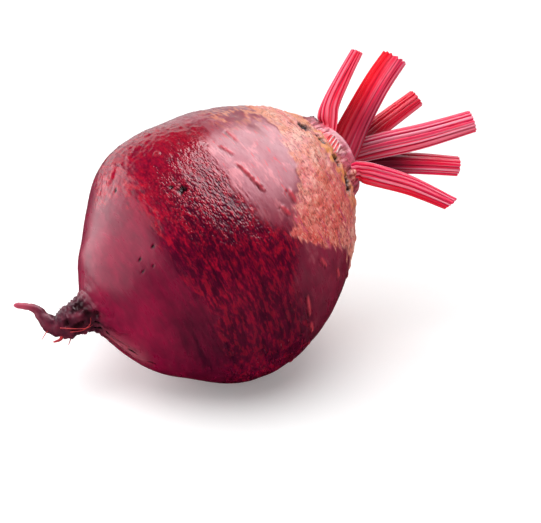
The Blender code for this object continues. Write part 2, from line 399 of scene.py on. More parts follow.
# Rootlets as centre lines, each with its thickness at the start.
ROOTLETS = [
    ([(-56.0, -0.8, 4.8), (-58.4, -1.0, 4.4), (-60.9, -1.2, 3.2)], 0.5),
    ([(-54.2, -0.8, 1.8), (-56.0, -1.0, 0.5), (-58.2, -1.2, 0.9)], 1.5),
    ([(-51.8, 0.4, 0.4), (-53.4, 0.4, -1.1), (-54.8, 0.2, -2.2)], 0.55),
    ([(-54.7, -3.5, 3.3), (-51.9, -4.25, 1.2), (-48.5, -4.1, -0.8), (-46.4, -5.1, -1.0)], 0.36),
    ([(-52.9, -3.7, 0.7), (-49.5, -3.7, -0.8), (-47.0, -5.1, -0.5), (-46.0, -6.4, 1.0)], 0.36),
]

# Noise patterns of the root's skin as (how far each is drawn out, scale, detail, roughness).
SKIN_PATTERNS = {
    "broad": (1.0, 130, 4, 0.55),
    "blotch": (0.5, 420, 5, 0.6),
    "streak": (0.16, 620, 5, 0.65),
    "flecks": (0.32, 1000, 4, 0.6),
    "strokes": (0.2, 1150, 3, 0.5),
    "grit": (0.4, 1900, 3, 0.6),
    "patchy": (0.6, 330, 6, 0.68),
}
GRAIN_SCALE = 900
SCALES_SCALE = 2100

# Layers of colour, the lowest first. Each is a colour's name and the parts whose product is its mask.
# A part is a number, the name of a pattern or of a kind of skin, or such a name with the ranges that
# it is fitted from and to.
SKIN_LAYERS = [
    ("skin_red", ["flush", ("blotch", 0.3, 0.55, 0.3, 1)]),
    # The dark band and the painted shade on the lower near side, which also dull the red flecks there.
    ("dark_skin_and_shade", ["dark_band_and_shade", ("streak", 0.3, 0.6, 1, 0.6)]),
    ("skin_red", ["scaly", ("tone", 0.3, 0.8, 0, 0.8), ("dark_band_and_shade", 0, 1, 1, 0.5)]),
    ("skin_red", ["rough", ("flecks", 0.49, 0.6), ("dark_band_and_shade", 0, 1, 1, 0.5)]),
    # Painted light: where the lights fall, the dark flecks and streaks are painted fainter and red is laid
    # over the flecks.
    ("dark_skin_and_shade", ["rough", ("flecks", 0.5, 0.4, 0, 0.8), ("glow", 0, 1, 1, 0.15)]),
    ("dark_skin_and_shade", ["rough", ("streak", 0.46, 0.36, 0, 0.6), ("glow", 0, 1, 1, 0.15)]),
    ("glow_red", ["glow", "rough", ("flecks", 0.36, 0.5, 0.2, 0.8)]),
    # Painted shade in the grooves of the rough band.
    ("dark_skin_and_shade", ["blister_groove_shade", 0.9]),
    # Painted shade in the grooves between the fine scales.
    ("dark_skin_and_shade", ["scaly", ("scales", 0.36, 0.55, 0, 0.8)]),
    ("dark_skin_and_shade", ["fibres", 0.25]),
    # Paler mauve skin, partly the skin's own bloom and partly a painted sheen.
    ("bloom_and_sheen_mauve", ["bloom_and_sheen", ("blotch", 0.3, 0.62, 0.45, 0.95)]),
    ("bloom_pink", ["flake", ("strokes", 0.4, 0.6, 0.1, 0.6)]),
    ("skin_red", ["bloom_and_sheen", ("strokes", 0.39, 0.31, 0, 0.8)]),
]
CORK_LAYERS = [
    ("cork_rust", ["rust", ("streak", 0.35, 0.6, 0.65, 1)]),
    ("cork_cream", [("patchy", 0.49, 0.58), ("rust", 0, 1, 0.8, 0.15)]),
    ("cork_rust", [("streak", 0.45, 0.35, 0, 0.6)]),
    ("violet", ["rust", ("streak", 0.54, 0.6, 0, 0.75)]),
    ("cork_rust", [("patchy", 0.42, 0.34, 0, 0.6)]),
    ("cork_brown", [("grit", 0.45, 0.36, 0, 0.85)]),
    ("cork_cream", [("grit", 0.55, 0.66, 0, 0.5)]),
]
SHOULDER_LAYERS = [
    ("cork_orange", ["tan"]),
    ("violet", ["violet", ("streak", 0.35, 0.55)]),
    ("lip_gold", ["lip", ("flecks", 0.38, 0.52, 0.25, 1)]),
]
MARK_LAYERS = [
    ("bare_pink", ["bare", ("blotch", 0.3, 0.5, 0.5, 1)]),
    # The pits painted dark, and painted shade in cracks, dents, furrows, hollows and the groove.
    ("pits_and_shade_black", ["pits_and_shade"]),
]
CROWN_LAYERS = [
    ("stalk_pale", ["lines", ("blotch", 0.4, 0.6, 0.05, 0.5)]),
    ("cork_rust", ["brown", ("blotch", 0.3, 0.6, 0.5, 1)]),
    ("cork_cream", ["brown", ("speckle", 0.5, 0.2, 0, 0.6)]),
    ("cork_brown", [("speckle", 0.5, 0.8), 0.6]),
    # Painted shade between the stalks' bases on the crown's top, and the old leaf's stub painted darker.
    ("stalk_deep_shade", ["deep"]),
    ("stalk_red", ["spots"]),
    # Painted shade in the open groove below the crown.
    ("pits_and_shade_black", ["pits_and_shade"]),
    ("rim_pale", ["rim"]),
    ("tooth_white", ["fibre"]),
]
STALK_LAYERS = [
    # Pale rib crests, partly a painted highlight.
    ("stalk_pale", ["pale", ("pinkness", 0, 0.5)]),
    # Painted shade in the furrows between the ribs, with dark fibres.
    ("stalk_deep_shade", ["dark", ("pinkness", 0, 0.4, 0.35, 0.85)]),
    # Painted shade on the stalks' bases.
    ("stalk_shade", ["base", 0.92]),
    ("cut_pale", ["cut"]),
]

# The camera's view is centred this far right of and below the root's centre.
CAMERA_RIGHT = 15.75
CAMERA_DOWN = 5.85
SENSOR = 36.0

# The floor is a square this wide, in metres.
FLOOR_SIZE = 6.0

# Where the lights stand from the root's centre, in metres, and their sizes.
KEY_PLACE = (-0.04, -0.22, 0.88)
KEY_SIZE = (1.0, 1.0)
SHEEN_PLACE = (0.230, 0.161, 0.530)
SHEEN_SIZE = (0.78, 0.78)
SIDE_PLACE = (-0.14, 0.0, 0.022)
SIDE_AIM = (0, 0, 0.022)
SIDE_SIZE = (0.20, 0.125)
BACK_PLACE = (-0.25, 0.45, 0.10)
BACK_SIZE = (1.1, 0.36)


def smooth_step(low, high, value):
    t = np.clip((value - low) / (high - low), 0, 1)
    return t * t * (3 - 2 * t)


def through(points, share):
    """Places at these shares, 0 to 1, of a smooth curve through the points, spaced evenly by point."""
    points = np.array(points, float)
    last = len(points) - 1
    at = np.clip(share, 0, 1) * last
    k = np.minimum(at.astype(int), last - 1)
    t = (at - k)[:, None]
    before = points[np.maximum(k - 1, 0)]
    start = points[k]
    end = points[k + 1]
    after = points[np.minimum(k + 2, last)]
    return 0.5 * (
        2 * start
        + (end - before) * t
        + (2 * before - 5 * start + 4 * end - after) * t**2
        + (3 * start - before - 3 * end + after) * t**3
    )


def evenly(points, count, closer=0.0):
    """Rows along a smooth curve through the points, up to but without its end. They are spaced evenly
    by length, or closer together round its middle by a share."""
    dense = through(points, np.linspace(0, 1, 60 * len(points)))
    steps = np.linalg.norm(np.diff(dense, axis=0), axis=1)
    length = np.concatenate([[0], np.cumsum(steps)])
    share = np.arange(count) / count
    spots = length[-1] * (share + closer * np.sin(math.tau * share) / math.tau)
    return np.stack([np.interp(spots, length, column) for column in dense.T], axis=1)


# Draws that the noise below reads: a shuffled row of 256 numbers, and as many directions and places.
DRAWS = np.random.default_rng(11)
LOT = DRAWS.permutation(256)
WAYS = DRAWS.normal(size=(256, 3))
WAYS /= np.linalg.norm(WAYS, axis=1, keepdims=True)
SPOTS = DRAWS.uniform(size=(256, 3))


def drawn(cell):
    """A number from 0 to 255 for each whole-number place."""
    x, y, z = (cell[..., k] & 255 for k in range(3))
    return LOT[(LOT[(LOT[x] + y) & 255] + z) & 255]


def noise_at(points, scale, seed=0.0):
    """Smooth noise from -1 to 1 at each point. The scale, per millimetre, is one for all axes or one each."""
    spots = points * np.asarray(scale, float) + seed
    cell = np.floor(spots).astype(int)
    part = spots - cell
    fade = part**3 * (part * (part * 6 - 15) + 10)
    total = 0
    for corner in itertools.product((0, 1), repeat=3):
        weight = np.prod(np.where(np.array(corner) == 1, fade, 1 - fade), axis=-1)
        total = total + weight * np.sum(WAYS[drawn(cell + corner)] * (part - corner), axis=-1)
    return np.clip(total * 1.7, -1, 1)


def cells_at(points, scale, seed=0.0):
    """Cells with narrow grooves between them: 0 in a groove to 1 inside a cell, with each cell's own number,
    also from 0 to 1."""
    spots = points * np.asarray(scale, float) + seed
    cell = np.floor(spots).astype(int)
    nearest = np.full(spots.shape[:-1], 9.0)
    second = nearest.copy()
    number = np.zeros_like(nearest)
    for corner in itertools.product((-1, 0, 1), repeat=3):
        home = cell + corner
        lot = drawn(home)
        off = np.linalg.norm(home + SPOTS[lot] - spots, axis=-1)
        second = np.minimum(second, np.maximum(nearest, off))
        number = np.where(off < nearest, lot / 255, number)
        nearest = np.minimum(nearest, off)
    return np.clip((second - nearest) * 2.2, 0, 1), number


def around(angle, centre, width):
    """1 where the angle is at the centre, falling to 0 past the width, all in degrees."""
    off = (angle - centre + 180) % 360 - 180
    return np.exp(-((off / width) ** 2))


def unit(vectors):
    return vectors / np.linalg.norm(vectors, axis=-1, keepdims=True)


def new_object(name, columns, rows, places, attributes, material):
    """A closed skin over rows of points in the root's own frame: a flat grid moved onto them, with its ends
    merged. places holds one row more at each end, whose points are all alike, for the poles."""
    bpy.ops.mesh.primitive_grid_add(x_subdivisions=columns, y_subdivisions=rows + 1, size=2)
    obj = bpy.context.object
    obj.name = name
    obj.data.name = name
    mesh = obj.data
    flat = np.empty(len(mesh.vertices) * 3)
    mesh.vertices.foreach_get("co", flat)
    flat = flat.reshape(-1, 3)
    column = np.rint((flat[:, 0] + 1) / 2 * columns).astype(int) % columns
    row = np.rint((flat[:, 1] + 1) / 2 * (rows + 1)).astype(int)
    world = places[row, column] @ np.array(LYING).T * MM + np.array(ROOT_CENTRE)
    mesh.vertices.foreach_set("co", world.ravel())
    for label, values in attributes.items():
        layer = mesh.attributes.new(label, "FLOAT", "POINT")
        layer.data.foreach_set("value", values[row, column].astype(np.float32))
    mesh.update()
    bpy.ops.object.mode_set(mode="EDIT")
    bpy.ops.mesh.select_all(action="SELECT")
    bpy.ops.mesh.remove_doubles(threshold=MERGE)
    bpy.ops.mesh.normals_make_consistent(inside=False)
    bpy.ops.object.mode_set(mode="OBJECT")
    bpy.ops.object.shade_smooth()
    mesh.materials.append(material)
    obj.select_set(False)
    return obj


def normals_of(grid):
    """Outward unit normals of a closed grid of points, whose columns go round."""
    down = np.gradient(grid, axis=0)
    across = np.roll(grid, -1, axis=1) - np.roll(grid, 1, axis=1)
    normal = np.cross(down, across)
    return normal / np.maximum(np.linalg.norm(normal, axis=2, keepdims=True), 1e-9)


def form_noise(along, side, along_scale, side_scale, shift):
    """The slow noise of the root's form at each place."""
    spots = side * side_scale + np.stack([along * along_scale, along * 0 + shift, along * 0], axis=-1)
    values = [noise.noise(spot) for spot in spots.reshape(-1, 3).tolist()]
    return np.array(values).reshape(along.shape)


def root_form(along, side, radius):
    """How far the root's slow lobes and growth rings stand out from its turned outline."""
    lobes = form_noise(along, side, 0.03, 1.1, 0)
    rings = form_noise(along, side, 0.21, 1.6, 7)
    return smooth_step(3, 16, radius) * (0.7 * lobes + 0.35 * rings)


def dash_of(along, turn, radius, start, end, width):
    """How near each point is to a dash, 1 on its line, and the same for a narrow crack beside it."""
    reach = math.radians(end[1] - start[1]) * radius
    run = end[0] - start[0]
    a = along - start[0]
    s = np.radians((turn - start[1] + 180) % 360 - 180) * radius
    share = np.clip((a * run + s * reach) / (run**2 + reach**2), 0, 1)
    off_a = a - share * run
    off_s = s - share * reach
    ends = 1 - 0.5 * np.abs(2 * share - 1) ** 3
    ridge = np.exp(-(off_a**2 + off_s**2) / (width * ends) ** 2)
    crack = np.exp(-((off_a + 1.3 * width) ** 2 + off_s**2) / (0.6 * width) ** 2)
    return ridge, crack


def open_groove(turn):
    """1 where the groove round the crown is open, and 0 where cork fills it."""
    return np.max([around(turn, centre, width) for centre, width in OPEN_GROOVE], axis=0)


def root_grid():
    """Rows of points over the root, with each row's place along the axis, turn and radius."""
    under = [(38.6, CROWN_UP, 11.0 * (k + 1) / (UNDER_CROWN_ROWS + 1)) for k in range(UNDER_CROWN_ROWS)]
    tip = np.array(TAIL_OUTLINE[-1:], float)
    rings = np.concatenate(
        [
            np.array(under),
            evenly(GROOVE_OUTLINE, GROOVE_ROWS),
            evenly(BODY_OUTLINE, BODY_ROWS, CLOSE_ROWS),
            evenly(TAIL_OUTLINE, TAIL_ROWS - 1),
            tip,
        ]
    )
    along, up, radius = rings.T
    centre = np.stack([along, along * 0, up], axis=1)
    back = unit(-np.gradient(centre, axis=0))
    tail = smooth_step(-46, -52, along)[:, None]
    run = unit((1 - tail) * np.array([1.0, 0, 0]) + tail * back)
    rise = np.stack([-run[:, 2], run[:, 1] * 0, run[:, 0]], axis=1)
    turn = math.tau * np.arange(ROOT_COLUMNS) / ROOT_COLUMNS
    turn = turn - CLOSE_SHARE * np.sin(turn - math.radians(CLOSE_TURN))
    out = np.cos(turn)[None, :, None] * np.array([0, 1.0, 0]) + np.sin(turn)[None, :, None] * rise[:, None, :]
    shape = (len(rings), ROOT_COLUMNS)
    along = np.broadcast_to(along[:, None], shape)
    radius = np.broadcast_to(radius[:, None], shape)
    side = np.stack([np.cos(turn), np.sin(turn), turn * 0], axis=1)
    side = np.broadcast_to(side[None], shape + (3,))
    turn = np.broadcast_to(np.degrees(turn)[None] % 360, shape)
    size = radius + root_form(along, side, radius)
    grid = centre[:, None, :] + out * size[..., None]
    filled = smooth_step(12.9, 13.6, radius) * smooth_step(16.2, 15.2, radius) * (along > 30)
    filled = filled * (1 - open_groove(turn))
    grid[..., 0] += filled * np.maximum(40.7 - along, 0)
    return grid, along, turn, radius


def tongues(turn, reaches):
    """How far an edge reaches out at each turn, from the reach, turn and half width of its tongues."""
    return sum(reach * around(turn, centre, width) for reach, centre, width in reaches)


def root_masks(grid, along, turn):
    """Where each kind of skin is, each from 0 to 1."""
    drift = noise_at(grid, 0.11, 3)
    wander = noise_at(grid, 0.35, 9)
    streak = noise_at(grid, (1.1, 0.25, 0.25), 15)
    cork_edge = CORK_START - tongues(turn, CORK_TONGUES)
    cork = smooth_step(-3, 3, along - cork_edge + 1.6 * drift + 2.2 * wander + 2.6 * streak)
    tan = around(turn, *TAN_PLACE) * smooth_step(10, 17, along) * smooth_step(0.0, 0.4, streak + 0.4 * wander)
    band_top = BAND_TOP + tongues(turn, BAND_TOP_TONGUES) + 0.8 * drift
    band_end = BAND_END - tongues(turn, BAND_END_TONGUES) + 1.5 * drift
    past_top = along - band_top + 2.4 * streak + wander
    rough = smooth_step(1.6, -1.6, past_top)
    rough *= smooth_step(-2, 2, along - band_end + 1.5 * wander + 1.8 * streak)
    # Paler mauve skin below the shoulder, partly the skin's own bloom and partly a painted sheen, strongest
    # where the sheen light falls, with a pale patch under the tap root.
    low_side = around(turn, 232, 38)
    bloom_and_sheen = smooth_step(-3 - 4 * low_side, 3 + 12 * low_side, past_top)
    bloom_and_sheen *= 0.15 + 0.85 * around(turn, 152, 42)
    bloom_and_sheen = np.maximum(bloom_and_sheen, 0.75 * around(turn, 248, 20) * smooth_step(-37, -41.5, along))
    # Painted light: where the sheen, side and back lights fall, the band is painted redder and its dark
    # flecks fainter.
    glow = np.maximum(around(turn, 150, 20) * smooth_step(-26, -12, along), around(turn, 116, 24))
    flush = [
        strength * around(turn, at, width) * np.exp(-(((along - a) / reach) ** 2))
        for strength, at, width, a, reach in FLUSHES
    ]
    # Painted shade, with the skin's own dark band: darker patches low on the near side.
    dark_band_and_shade = [
        around(turn, at, width) * smooth_step(*start, along) * smooth_step(*end, along)
        for at, width, start, end in DARK_BAND_AND_SHADE
    ]
    lip_patches = smooth_step(-0.35, 0.1, noise_at(grid, (0.3, 0.45, 0.45), 44))
    lip = smooth_step(35.6, 38.2, along + 2.4 * wander) * lip_patches
    violet = around(turn, 180, 15) * np.exp(-(((along - 36.4 + 0.6 * wander) / 0.8) ** 2))
    return {
        "cork": cork,
        "tan": tan,
        "rough": rough * (0.45 + 0.55 * around(turn, 152, 55)),
        "scaly": rough * around(turn, 166, 30) * smooth_step(-23, -12, along),
        "bloom_and_sheen": bloom_and_sheen,
        "flush": np.max(flush, axis=0),
        "dark_band_and_shade": np.max(dark_band_and_shade, axis=0),
        "glow": glow,
        "tail": smooth_step(-42.0, -45.5, along),
        "lip": lip * (0.35 + 0.65 * around(turn, 180, 38)),
        "rust": around(turn, 203, 31),
        "violet": violet,
        "tip": smooth_step(-56.0, -60.5, along),
    }


def blister_relief(settings, grid, along, turn, masks, wrinkles):
    """The blisters and wrinkles of the rough band, with each blister's number and the painted shade in the
    grooves between them and in the wrinkles' valleys.
    """
    rough = masks["rough"]
    swirled = grid + 0.35 * noise_at(grid, 0.9, 35)[..., None]
    blisters, number = cells_at(swirled, (1.65, 0.95, 0.95), 40)
    lively = smooth_step(-0.6, 0.4, noise_at(grid, (0.4, 0.14, 0.14), 51))
    scaly = masks["scaly"] * lively
    upper = around(turn, 112, 18) * smooth_step(-30, -22, along) * smooth_step(28, 20, along)
    knobbly = noise_at(grid, (0.9, 0.55, 0.55), 57)
    height = upper * (KNOBBLE_HEIGHT * np.maximum(knobbly, 0) + 0.1 * wrinkles)
    domes = 0.8 * (blisters * (0.4 + number) - 0.6)
    height += settings.blister_height / MM * (scaly * domes + rough * 0.4 * wrinkles)
    # Painted shade in the grooves between blisters and in the valleys of the wrinkles.
    blister_groove_shade = 0.8 * scaly * (1 - smooth_step(0.05, 0.35, blisters))
    blister_groove_shade += 0.5 * rough * smooth_step(-0.1, -0.6, wrinkles)
    return height, number, np.clip(blister_groove_shade, 0, 1)


def cork_relief(settings, grid, masks):
    """The plates, crust and clods of the corky shoulder and the tan patch, with the painted shade in the
    cracks between plates.
    """
    cork = masks["cork"]
    plates, plate_number = cells_at(grid, (0.6, 0.24, 0.24), 90)
    crust = noise_at(grid, 0.55, 61) + 0.6 * noise_at(grid, 1.3, 67)
    clods = noise_at(grid, (0.35, 0.2, 0.2), 69)
    lumps = 0.4 * plates * (0.4 + plate_number) + 0.35 * crust + 0.5 * clods - 0.4
    height = settings.cork_height / MM * cork * lumps
    height += masks["tan"] * (TAN_ROUGHNESS * noise_at(grid, (1.2, 0.35, 0.35), 63) + TAN_HEIGHT)
    crack = cork * 0.5 * (1 - smooth_step(0.0, 0.14, plates)) * smooth_step(0.4, 0.7, plate_number)
    return height, crack


def marks_relief(grid, along, turn, radius, wrinkles):
    """The dashes, pits and bumps, with where they are dark and where they are bare. The crack beside each
    dash is painted dark as the dash's shadow, each bump's dent as shade, and the pits are painted dark.
    """
    height = 0 * along
    dark = 0 * along
    bare = 0 * along
    ragged = np.clip(0.75 + 0.6 * noise_at(grid, 0.9, 29), 0, 1.2)
    for start, end, width, tall in dashes():
        ridge, crack = dash_of(along, turn, radius, start, end, width)
        height += tall * ridge * ragged - CRACK_DEPTH * crack
        bare = np.maximum(bare, ridge)
        # Painted shadow of the dash, in the crack beside it.
        dark = np.maximum(dark, 0.8 * crack * ragged)
    for a, at, size, depth in PITS:
        near = spot_of(along, turn, radius, a, at) / size + 0.45 * noise_at(grid, 1.1, a)
        height -= depth * smooth_step(1.2, 0.3, near)
        dark = np.maximum(dark, smooth_step(1.25, 0.7, near))
    for a, at, size, tall in BUMPS:
        near = spot_of(along, turn, radius, a, at) / size
        height += tall * (smooth_step(1.3, 0.6, near) - 0.7 * smooth_step(0.6, 0.1, near))
        bare = np.maximum(bare, 0.5 * smooth_step(1.0, 0.6, near))
        # Painted shade in the bump's dent.
        dark = np.maximum(dark, 0.5 * smooth_step(0.7, 0.2, near + 0.3 * wrinkles))
    return height, dark, bare


def tail_relief(grid, along, turn, radius, tail):
    """The furrows near the tap root, and its wrinkles, knob and hollows, with where they are dark: painted
    shade in the furrows and hollows.
    """
    furrow = np.sin(np.radians(turn) * FURROWS + 3.2 * noise_at(grid, 0.22, 71))
    near_tail = smooth_step(-38.5, -43, along) * smooth_step(-50, -46, along)
    low_side = 0.15 + 0.85 * around(turn, 240, 60)
    height = FURROW_DEPTH * near_tail * low_side * (furrow - 0.6)
    dark = 0.35 * near_tail * low_side * smooth_step(-0.3, -0.9, furrow)
    ripple = np.sin(along * 4.1 + 2.0 * noise_at(grid, 0.5, 77))
    height += tail * np.minimum(radius, 5) * (0.055 * ripple + 0.1 * noise_at(grid, 0.55, 83))
    spot, size, tall = TAIL_KNOB
    height += tall * smooth_step(size, 0, np.linalg.norm(grid - np.array(spot), axis=2))
    for spot, size, depth in HOLLOWS:
        hollow = np.linalg.norm((grid - np.array(spot)) / np.array(size), axis=2)
        hollow += 0.25 * noise_at(grid, 0.8, 5)
        height -= depth * smooth_step(1.2, 0.2, hollow)
        dark = np.maximum(dark, 0.85 * smooth_step(1.4, 0.5, hollow))
    return height, dark


def root_relief(settings, grid, along, turn, radius, masks):
    """The fine relief in millimetres, with what the skin's colours need to know of it."""
    body = 1 - masks["tail"]
    wrinkles = 0.6 * noise_at(grid, (1.5, 0.4, 0.4), 53) + 0.5 * noise_at(grid, (2.1, 0.9, 0.9), 55)
    flakes, flake_number = cells_at(grid + 2.5 * noise_at(grid, 0.2, 33)[..., None], (0.30, 0.12, 0.12), 71)
    flaked = smooth_step(0.95 - FLAKE_SHARE, 1.02 - FLAKE_SHARE, flake_number) * smooth_step(0.1, 0.4, flakes)
    flake = masks["bloom_and_sheen"] * (1 - masks["cork"]) * flaked
    blister_height, number, blister_groove_shade = blister_relief(settings, grid, along, turn, masks, wrinkles)
    cork_height, cork_crack_shade = cork_relief(settings, grid, masks)
    marks_height, marks_shade_and_pits, bare = marks_relief(grid, along, turn, radius, wrinkles)
    tail_height, tail_dark = tail_relief(grid, along, turn, radius, masks["tail"])
    edge = smooth_step(37.5, 39.5, along) * smooth_step(20.0, 16.5, radius) * smooth_step(13, 14, radius)
    edge_height = edge * (0.45 * noise_at(grid, 0.4, 97) + 0.35 * noise_at(grid, 1.0, 99))
    # Painted shade in the open stretches of the groove round the crown.
    in_groove = smooth_step(15.6, 14.8, radius) * smooth_step(30, 38, along)
    open_groove_shade = 0.95 * in_groove * smooth_step(0.25, 0.6, open_groove(turn))
    height = body * GRAIN_HEIGHT * noise_at(grid, (1.5, 0.3, 0.3), 21) + FLAKE_HEIGHT * flake
    height += blister_height + cork_height + marks_height + tail_height + edge_height - SKIN_INSET * body
    # Where the skin is painted dark: the pits, and painted shade in cracks, dents, furrows, hollows and the
    # groove.
    dark = np.max([cork_crack_shade, marks_shade_and_pits, tail_dark, open_groove_shade], axis=0)
    return height, {"pits_and_shade": dark, "bare": bare, "blister_groove_shade": blister_groove_shade, "tone": number, "flake": flake}


def spot_of(along, turn, radius, a, at):
    """How far each point is from a place on the skin, over the skin."""
    return np.hypot(along - a, np.radians((turn - at + 180) % 360 - 180) * radius)


def dashes():
    """The dashes on the near side, and more of them by a rule round the rest of the root."""
    found = list(DASHES)
    draw = np.random.default_rng(7)
    for k in range(STREWN_DASHES):
        a = draw.uniform(-2, 26)
        at = (STREWN_FROM + STREWN_OVER * (k + draw.uniform(0, 1)) / STREWN_DASHES) % 360
        found.append(((a, at), (a + draw.uniform(-1, 1.5), at + draw.uniform(4, 11)), 0.5, 0.35))
    return found


def rest_on_floor(grid):
    """Flattens what would reach below the floor, with the skin rolling into the flat."""
    turned = np.array(LYING)
    world = grid @ turned.T + np.array(ROOT_CENTRE) / MM
    t = np.clip(world[..., 2], 0, REST_BLEND) / REST_BLEND
    low = world[..., 2] < REST_BLEND
    world[..., 2] = np.where(low, REST_BLEND * (2 * t**2 - t**3), world[..., 2])
    return (world - np.array(ROOT_CENTRE) / MM) @ turned


def with_poles(grid, first, last):
    """The grid with one row more at each end, all at that end's point."""
    row = np.ones((1, grid.shape[1], 1))
    return np.concatenate([row * np.array(first), grid, row * np.array(last)])


def padded_masks(masks):
    """Masks with the first and the last row repeated for the poles."""
    return {name: np.concatenate([rows[:1], rows, rows[-1:]]) for name, rows in masks.items()}


def make_root(settings):
    grid, along, turn, radius = root_grid()
    masks = root_masks(grid, along, turn)
    height, shape = root_relief(settings, grid, along, turn, radius, masks)
    grid = grid + normals_of(grid) * height[..., None]
    grid = rest_on_floor(grid)
    tip = TAIL_OUTLINE[-1]
    places = with_poles(grid, (38.6, 0, CROWN_UP), (tip[0] - 0.2, 0, tip[1] + 0.15))
    attributes = padded_masks(masks | shape)
    material = root_material(settings)
    return new_object("root_skin_piece", ROOT_COLUMNS, len(grid), places, attributes, material)


def crown_grid():
    """Rows of points over the crown's drum, with each point's place along the axis, turn and radius."""
    rings = evenly(CROWN_OUTLINE, CROWN_ROWS)
    shape = (CROWN_ROWS, CROWN_COLUMNS)
    along, up, radius = (np.broadcast_to(values[:, None], shape) for values in rings.T)
    turns = math.tau * np.arange(CROWN_COLUMNS) / CROWN_COLUMNS
    turn = np.broadcast_to(np.degrees(turns)[None], shape)
    out = np.stack([turns * 0, np.cos(turns), np.sin(turns)], axis=1)[None]
    centre = np.stack([along, along * 0, up], axis=2)
    return centre + out * radius[..., None], along, turn, radius


def fibre_relief(along, turn, radius):
    """The collar's white fibres and the hollows beside them, with where each of the two is."""
    height = 0 * along
    fibre = 0 * along
    between = 0 * along
    for start, end in TEETH:
        ridge, _ = dash_of(along, turn, radius, start, end, 0.36)
        hollow_start, hollow_end = ((a, at - TOOTH_GAP) for a, at in (start, end))
        hollow, _ = dash_of(along, turn, radius, hollow_start, hollow_end, 0.32)
        height += 0.5 * ridge - 0.45 * hollow
        fibre = np.maximum(fibre, ridge)
        between = np.maximum(between, hollow)
    return height, fibre, between


def knob_relief(grid, along, turn, radius):
    """The collar's knobs, with where they are brown."""
    height = 0 * along
    brown = 0 * along
    for a, at, size, tall in KNOBS:
        near = spot_of(along, turn, radius, a, at) / size + 0.3 * noise_at(grid, 0.9, 3)
        height += tall * smooth_step(1.2, 0.1, near)
        brown = np.maximum(brown, smooth_step(1.3, 0.5, near))
    return height, brown


def red_spots(grid, along, turn, radius):
    """Where the collar's red spots are."""
    spots = 0 * along
    for a, at, size in RED_SPOTS:
        near = spot_of(along, turn, radius, a, at) / size + 0.5 * noise_at(grid, 0.9, 8)
        spots = np.maximum(spots, smooth_step(1.2, 0.5, near))
    return spots


def crown_relief(grid, along, turn, radius):
    """The crown's relief in millimetres, with where each of its colours is."""
    wall = smooth_step(45.9, 45.0, along) * smooth_step(10, 12.5, radius)
    top = smooth_step(12.4, 10.5, radius) * smooth_step(40, 44, along)
    lines = noise_at(grid, (0.12, 1.5, 1.5), 13) + 0.6 * noise_at(grid, (0.2, 3.1, 3.1), 23)
    rolls = noise_at(grid, (0.3, 0.6, 0.6), 15)
    near_side = around(turn, 176, 36)
    rim_at = 12.2 + 0.3 * noise_at(grid, 0.3, 31)
    rim = np.exp(-(((radius - rim_at) / 0.4) ** 2)) * smooth_step(44.4, 45.2, along)
    scar = around(turn, SCAR_TURN, SCAR_WIDTH)
    scar = scar * smooth_step(41.5, 44.0, along) * smooth_step(9.5, 12.5, radius)
    whorls = np.cos(radius * 2.6 + 3 * noise_at(grid, 0.2, 19))
    fibre_height, fibre, between = fibre_relief(along, turn, radius)
    knob_height, brown = knob_relief(grid, along, turn, radius)
    height = wall * (0.08 * lines + 0.4 * rolls) * smooth_step(12.2, 13.4, radius)
    height += rim * (0.1 + 1.25 * near_side) + SCAR_HEIGHT * scar
    height += top * (0.5 * noise_at(grid, 0.35, 17) + 0.25 * whorls)
    height += fibre_height + knob_height
    # Painted shade on the crown's top between the stalks' bases.
    middle = smooth_step(12.0, 9.5, radius) * smooth_step(40, 44, along)
    return height, {
        "rim": np.clip(0.7 * rim * (0.05 + near_side), 0, 1),
        "fibre": fibre * (1 - between),
        "lines": wall * smooth_step(-0.1, 0.6, lines),
        "brown": np.clip(brown + 0.7 * wall * smooth_step(43.4, 41.6, along + 1.2 * rolls), 0, 1),
        "spots": np.maximum(between, red_spots(grid, along, turn, radius)),
        "deep": np.maximum(middle, 0.75 * scar),
        # Painted shade where the groove below the crown is open.
        "pits_and_shade": smooth_step(41.6, 40.4, along) * smooth_step(0.25, 0.6, open_groove(turn)),
    }


def make_crown(settings):
    grid, along, turn, radius = crown_grid()
    height, masks = crown_relief(grid, along, turn, radius)
    grid = grid + normals_of(grid) * height[..., None]
    places = with_poles(grid, (46.4, 0, CROWN_UP), (37.4, 0, CROWN_UP))
    material = crown_material(settings)
    return new_object("crown_piece", CROWN_COLUMNS, CROWN_ROWS, places, padded_masks(masks), material)


def crown_height(radius):
    """How far along the axis the drum's top is, at this distance from its centre."""
    return CROWN_TOP - CROWN_EDGE_DROP * (radius / CROWN_RADIUS) ** 2


def stalk_ribs(spec, seed, share, turn):
    """How high each point of a stalk stands on its rib, 0 to 1, with each rib's number and fine fibres."""
    ring = np.stack([np.cos(turn), np.sin(turn), 0 * turn], axis=-1)
    length = np.stack([0 * share, 0 * share, share], axis=-1)
    sway = noise_at(ring * 2.1 + length * 0.9, 1, seed)
    phase = turn * spec["ribs"] / 2 + 1.2 * sway
    wave = np.abs(np.cos(phase))
    index = np.floor(phase / math.pi + 0.5).astype(int) % spec["ribs"]
    number = LOT[(index * 7 + int(seed)) & 255] / 255
    fibres = noise_at(ring * 7.5 + length * 1.6, 1, seed + 40)
    return wave, number, fibres


def stalk_frame(spec, share, length):
    """A stalk's centre line, with the ways that it runs, across its width and out of its outer face."""
    line = spec["line"]
    run = unit(through(line, share + 0.02) - through(line, share - 0.02))
    seat_turn = smooth_step(0, SEATED, share * length)[:, None]
    run = unit((1 - seat_turn) * np.array([1.0, 0, 0]) + seat_turn * run)
    face = unit(np.array([0.0, *spec["face"]]))
    across = unit(np.cross(run, face))
    return through(line, share), run, across, np.cross(across, run)


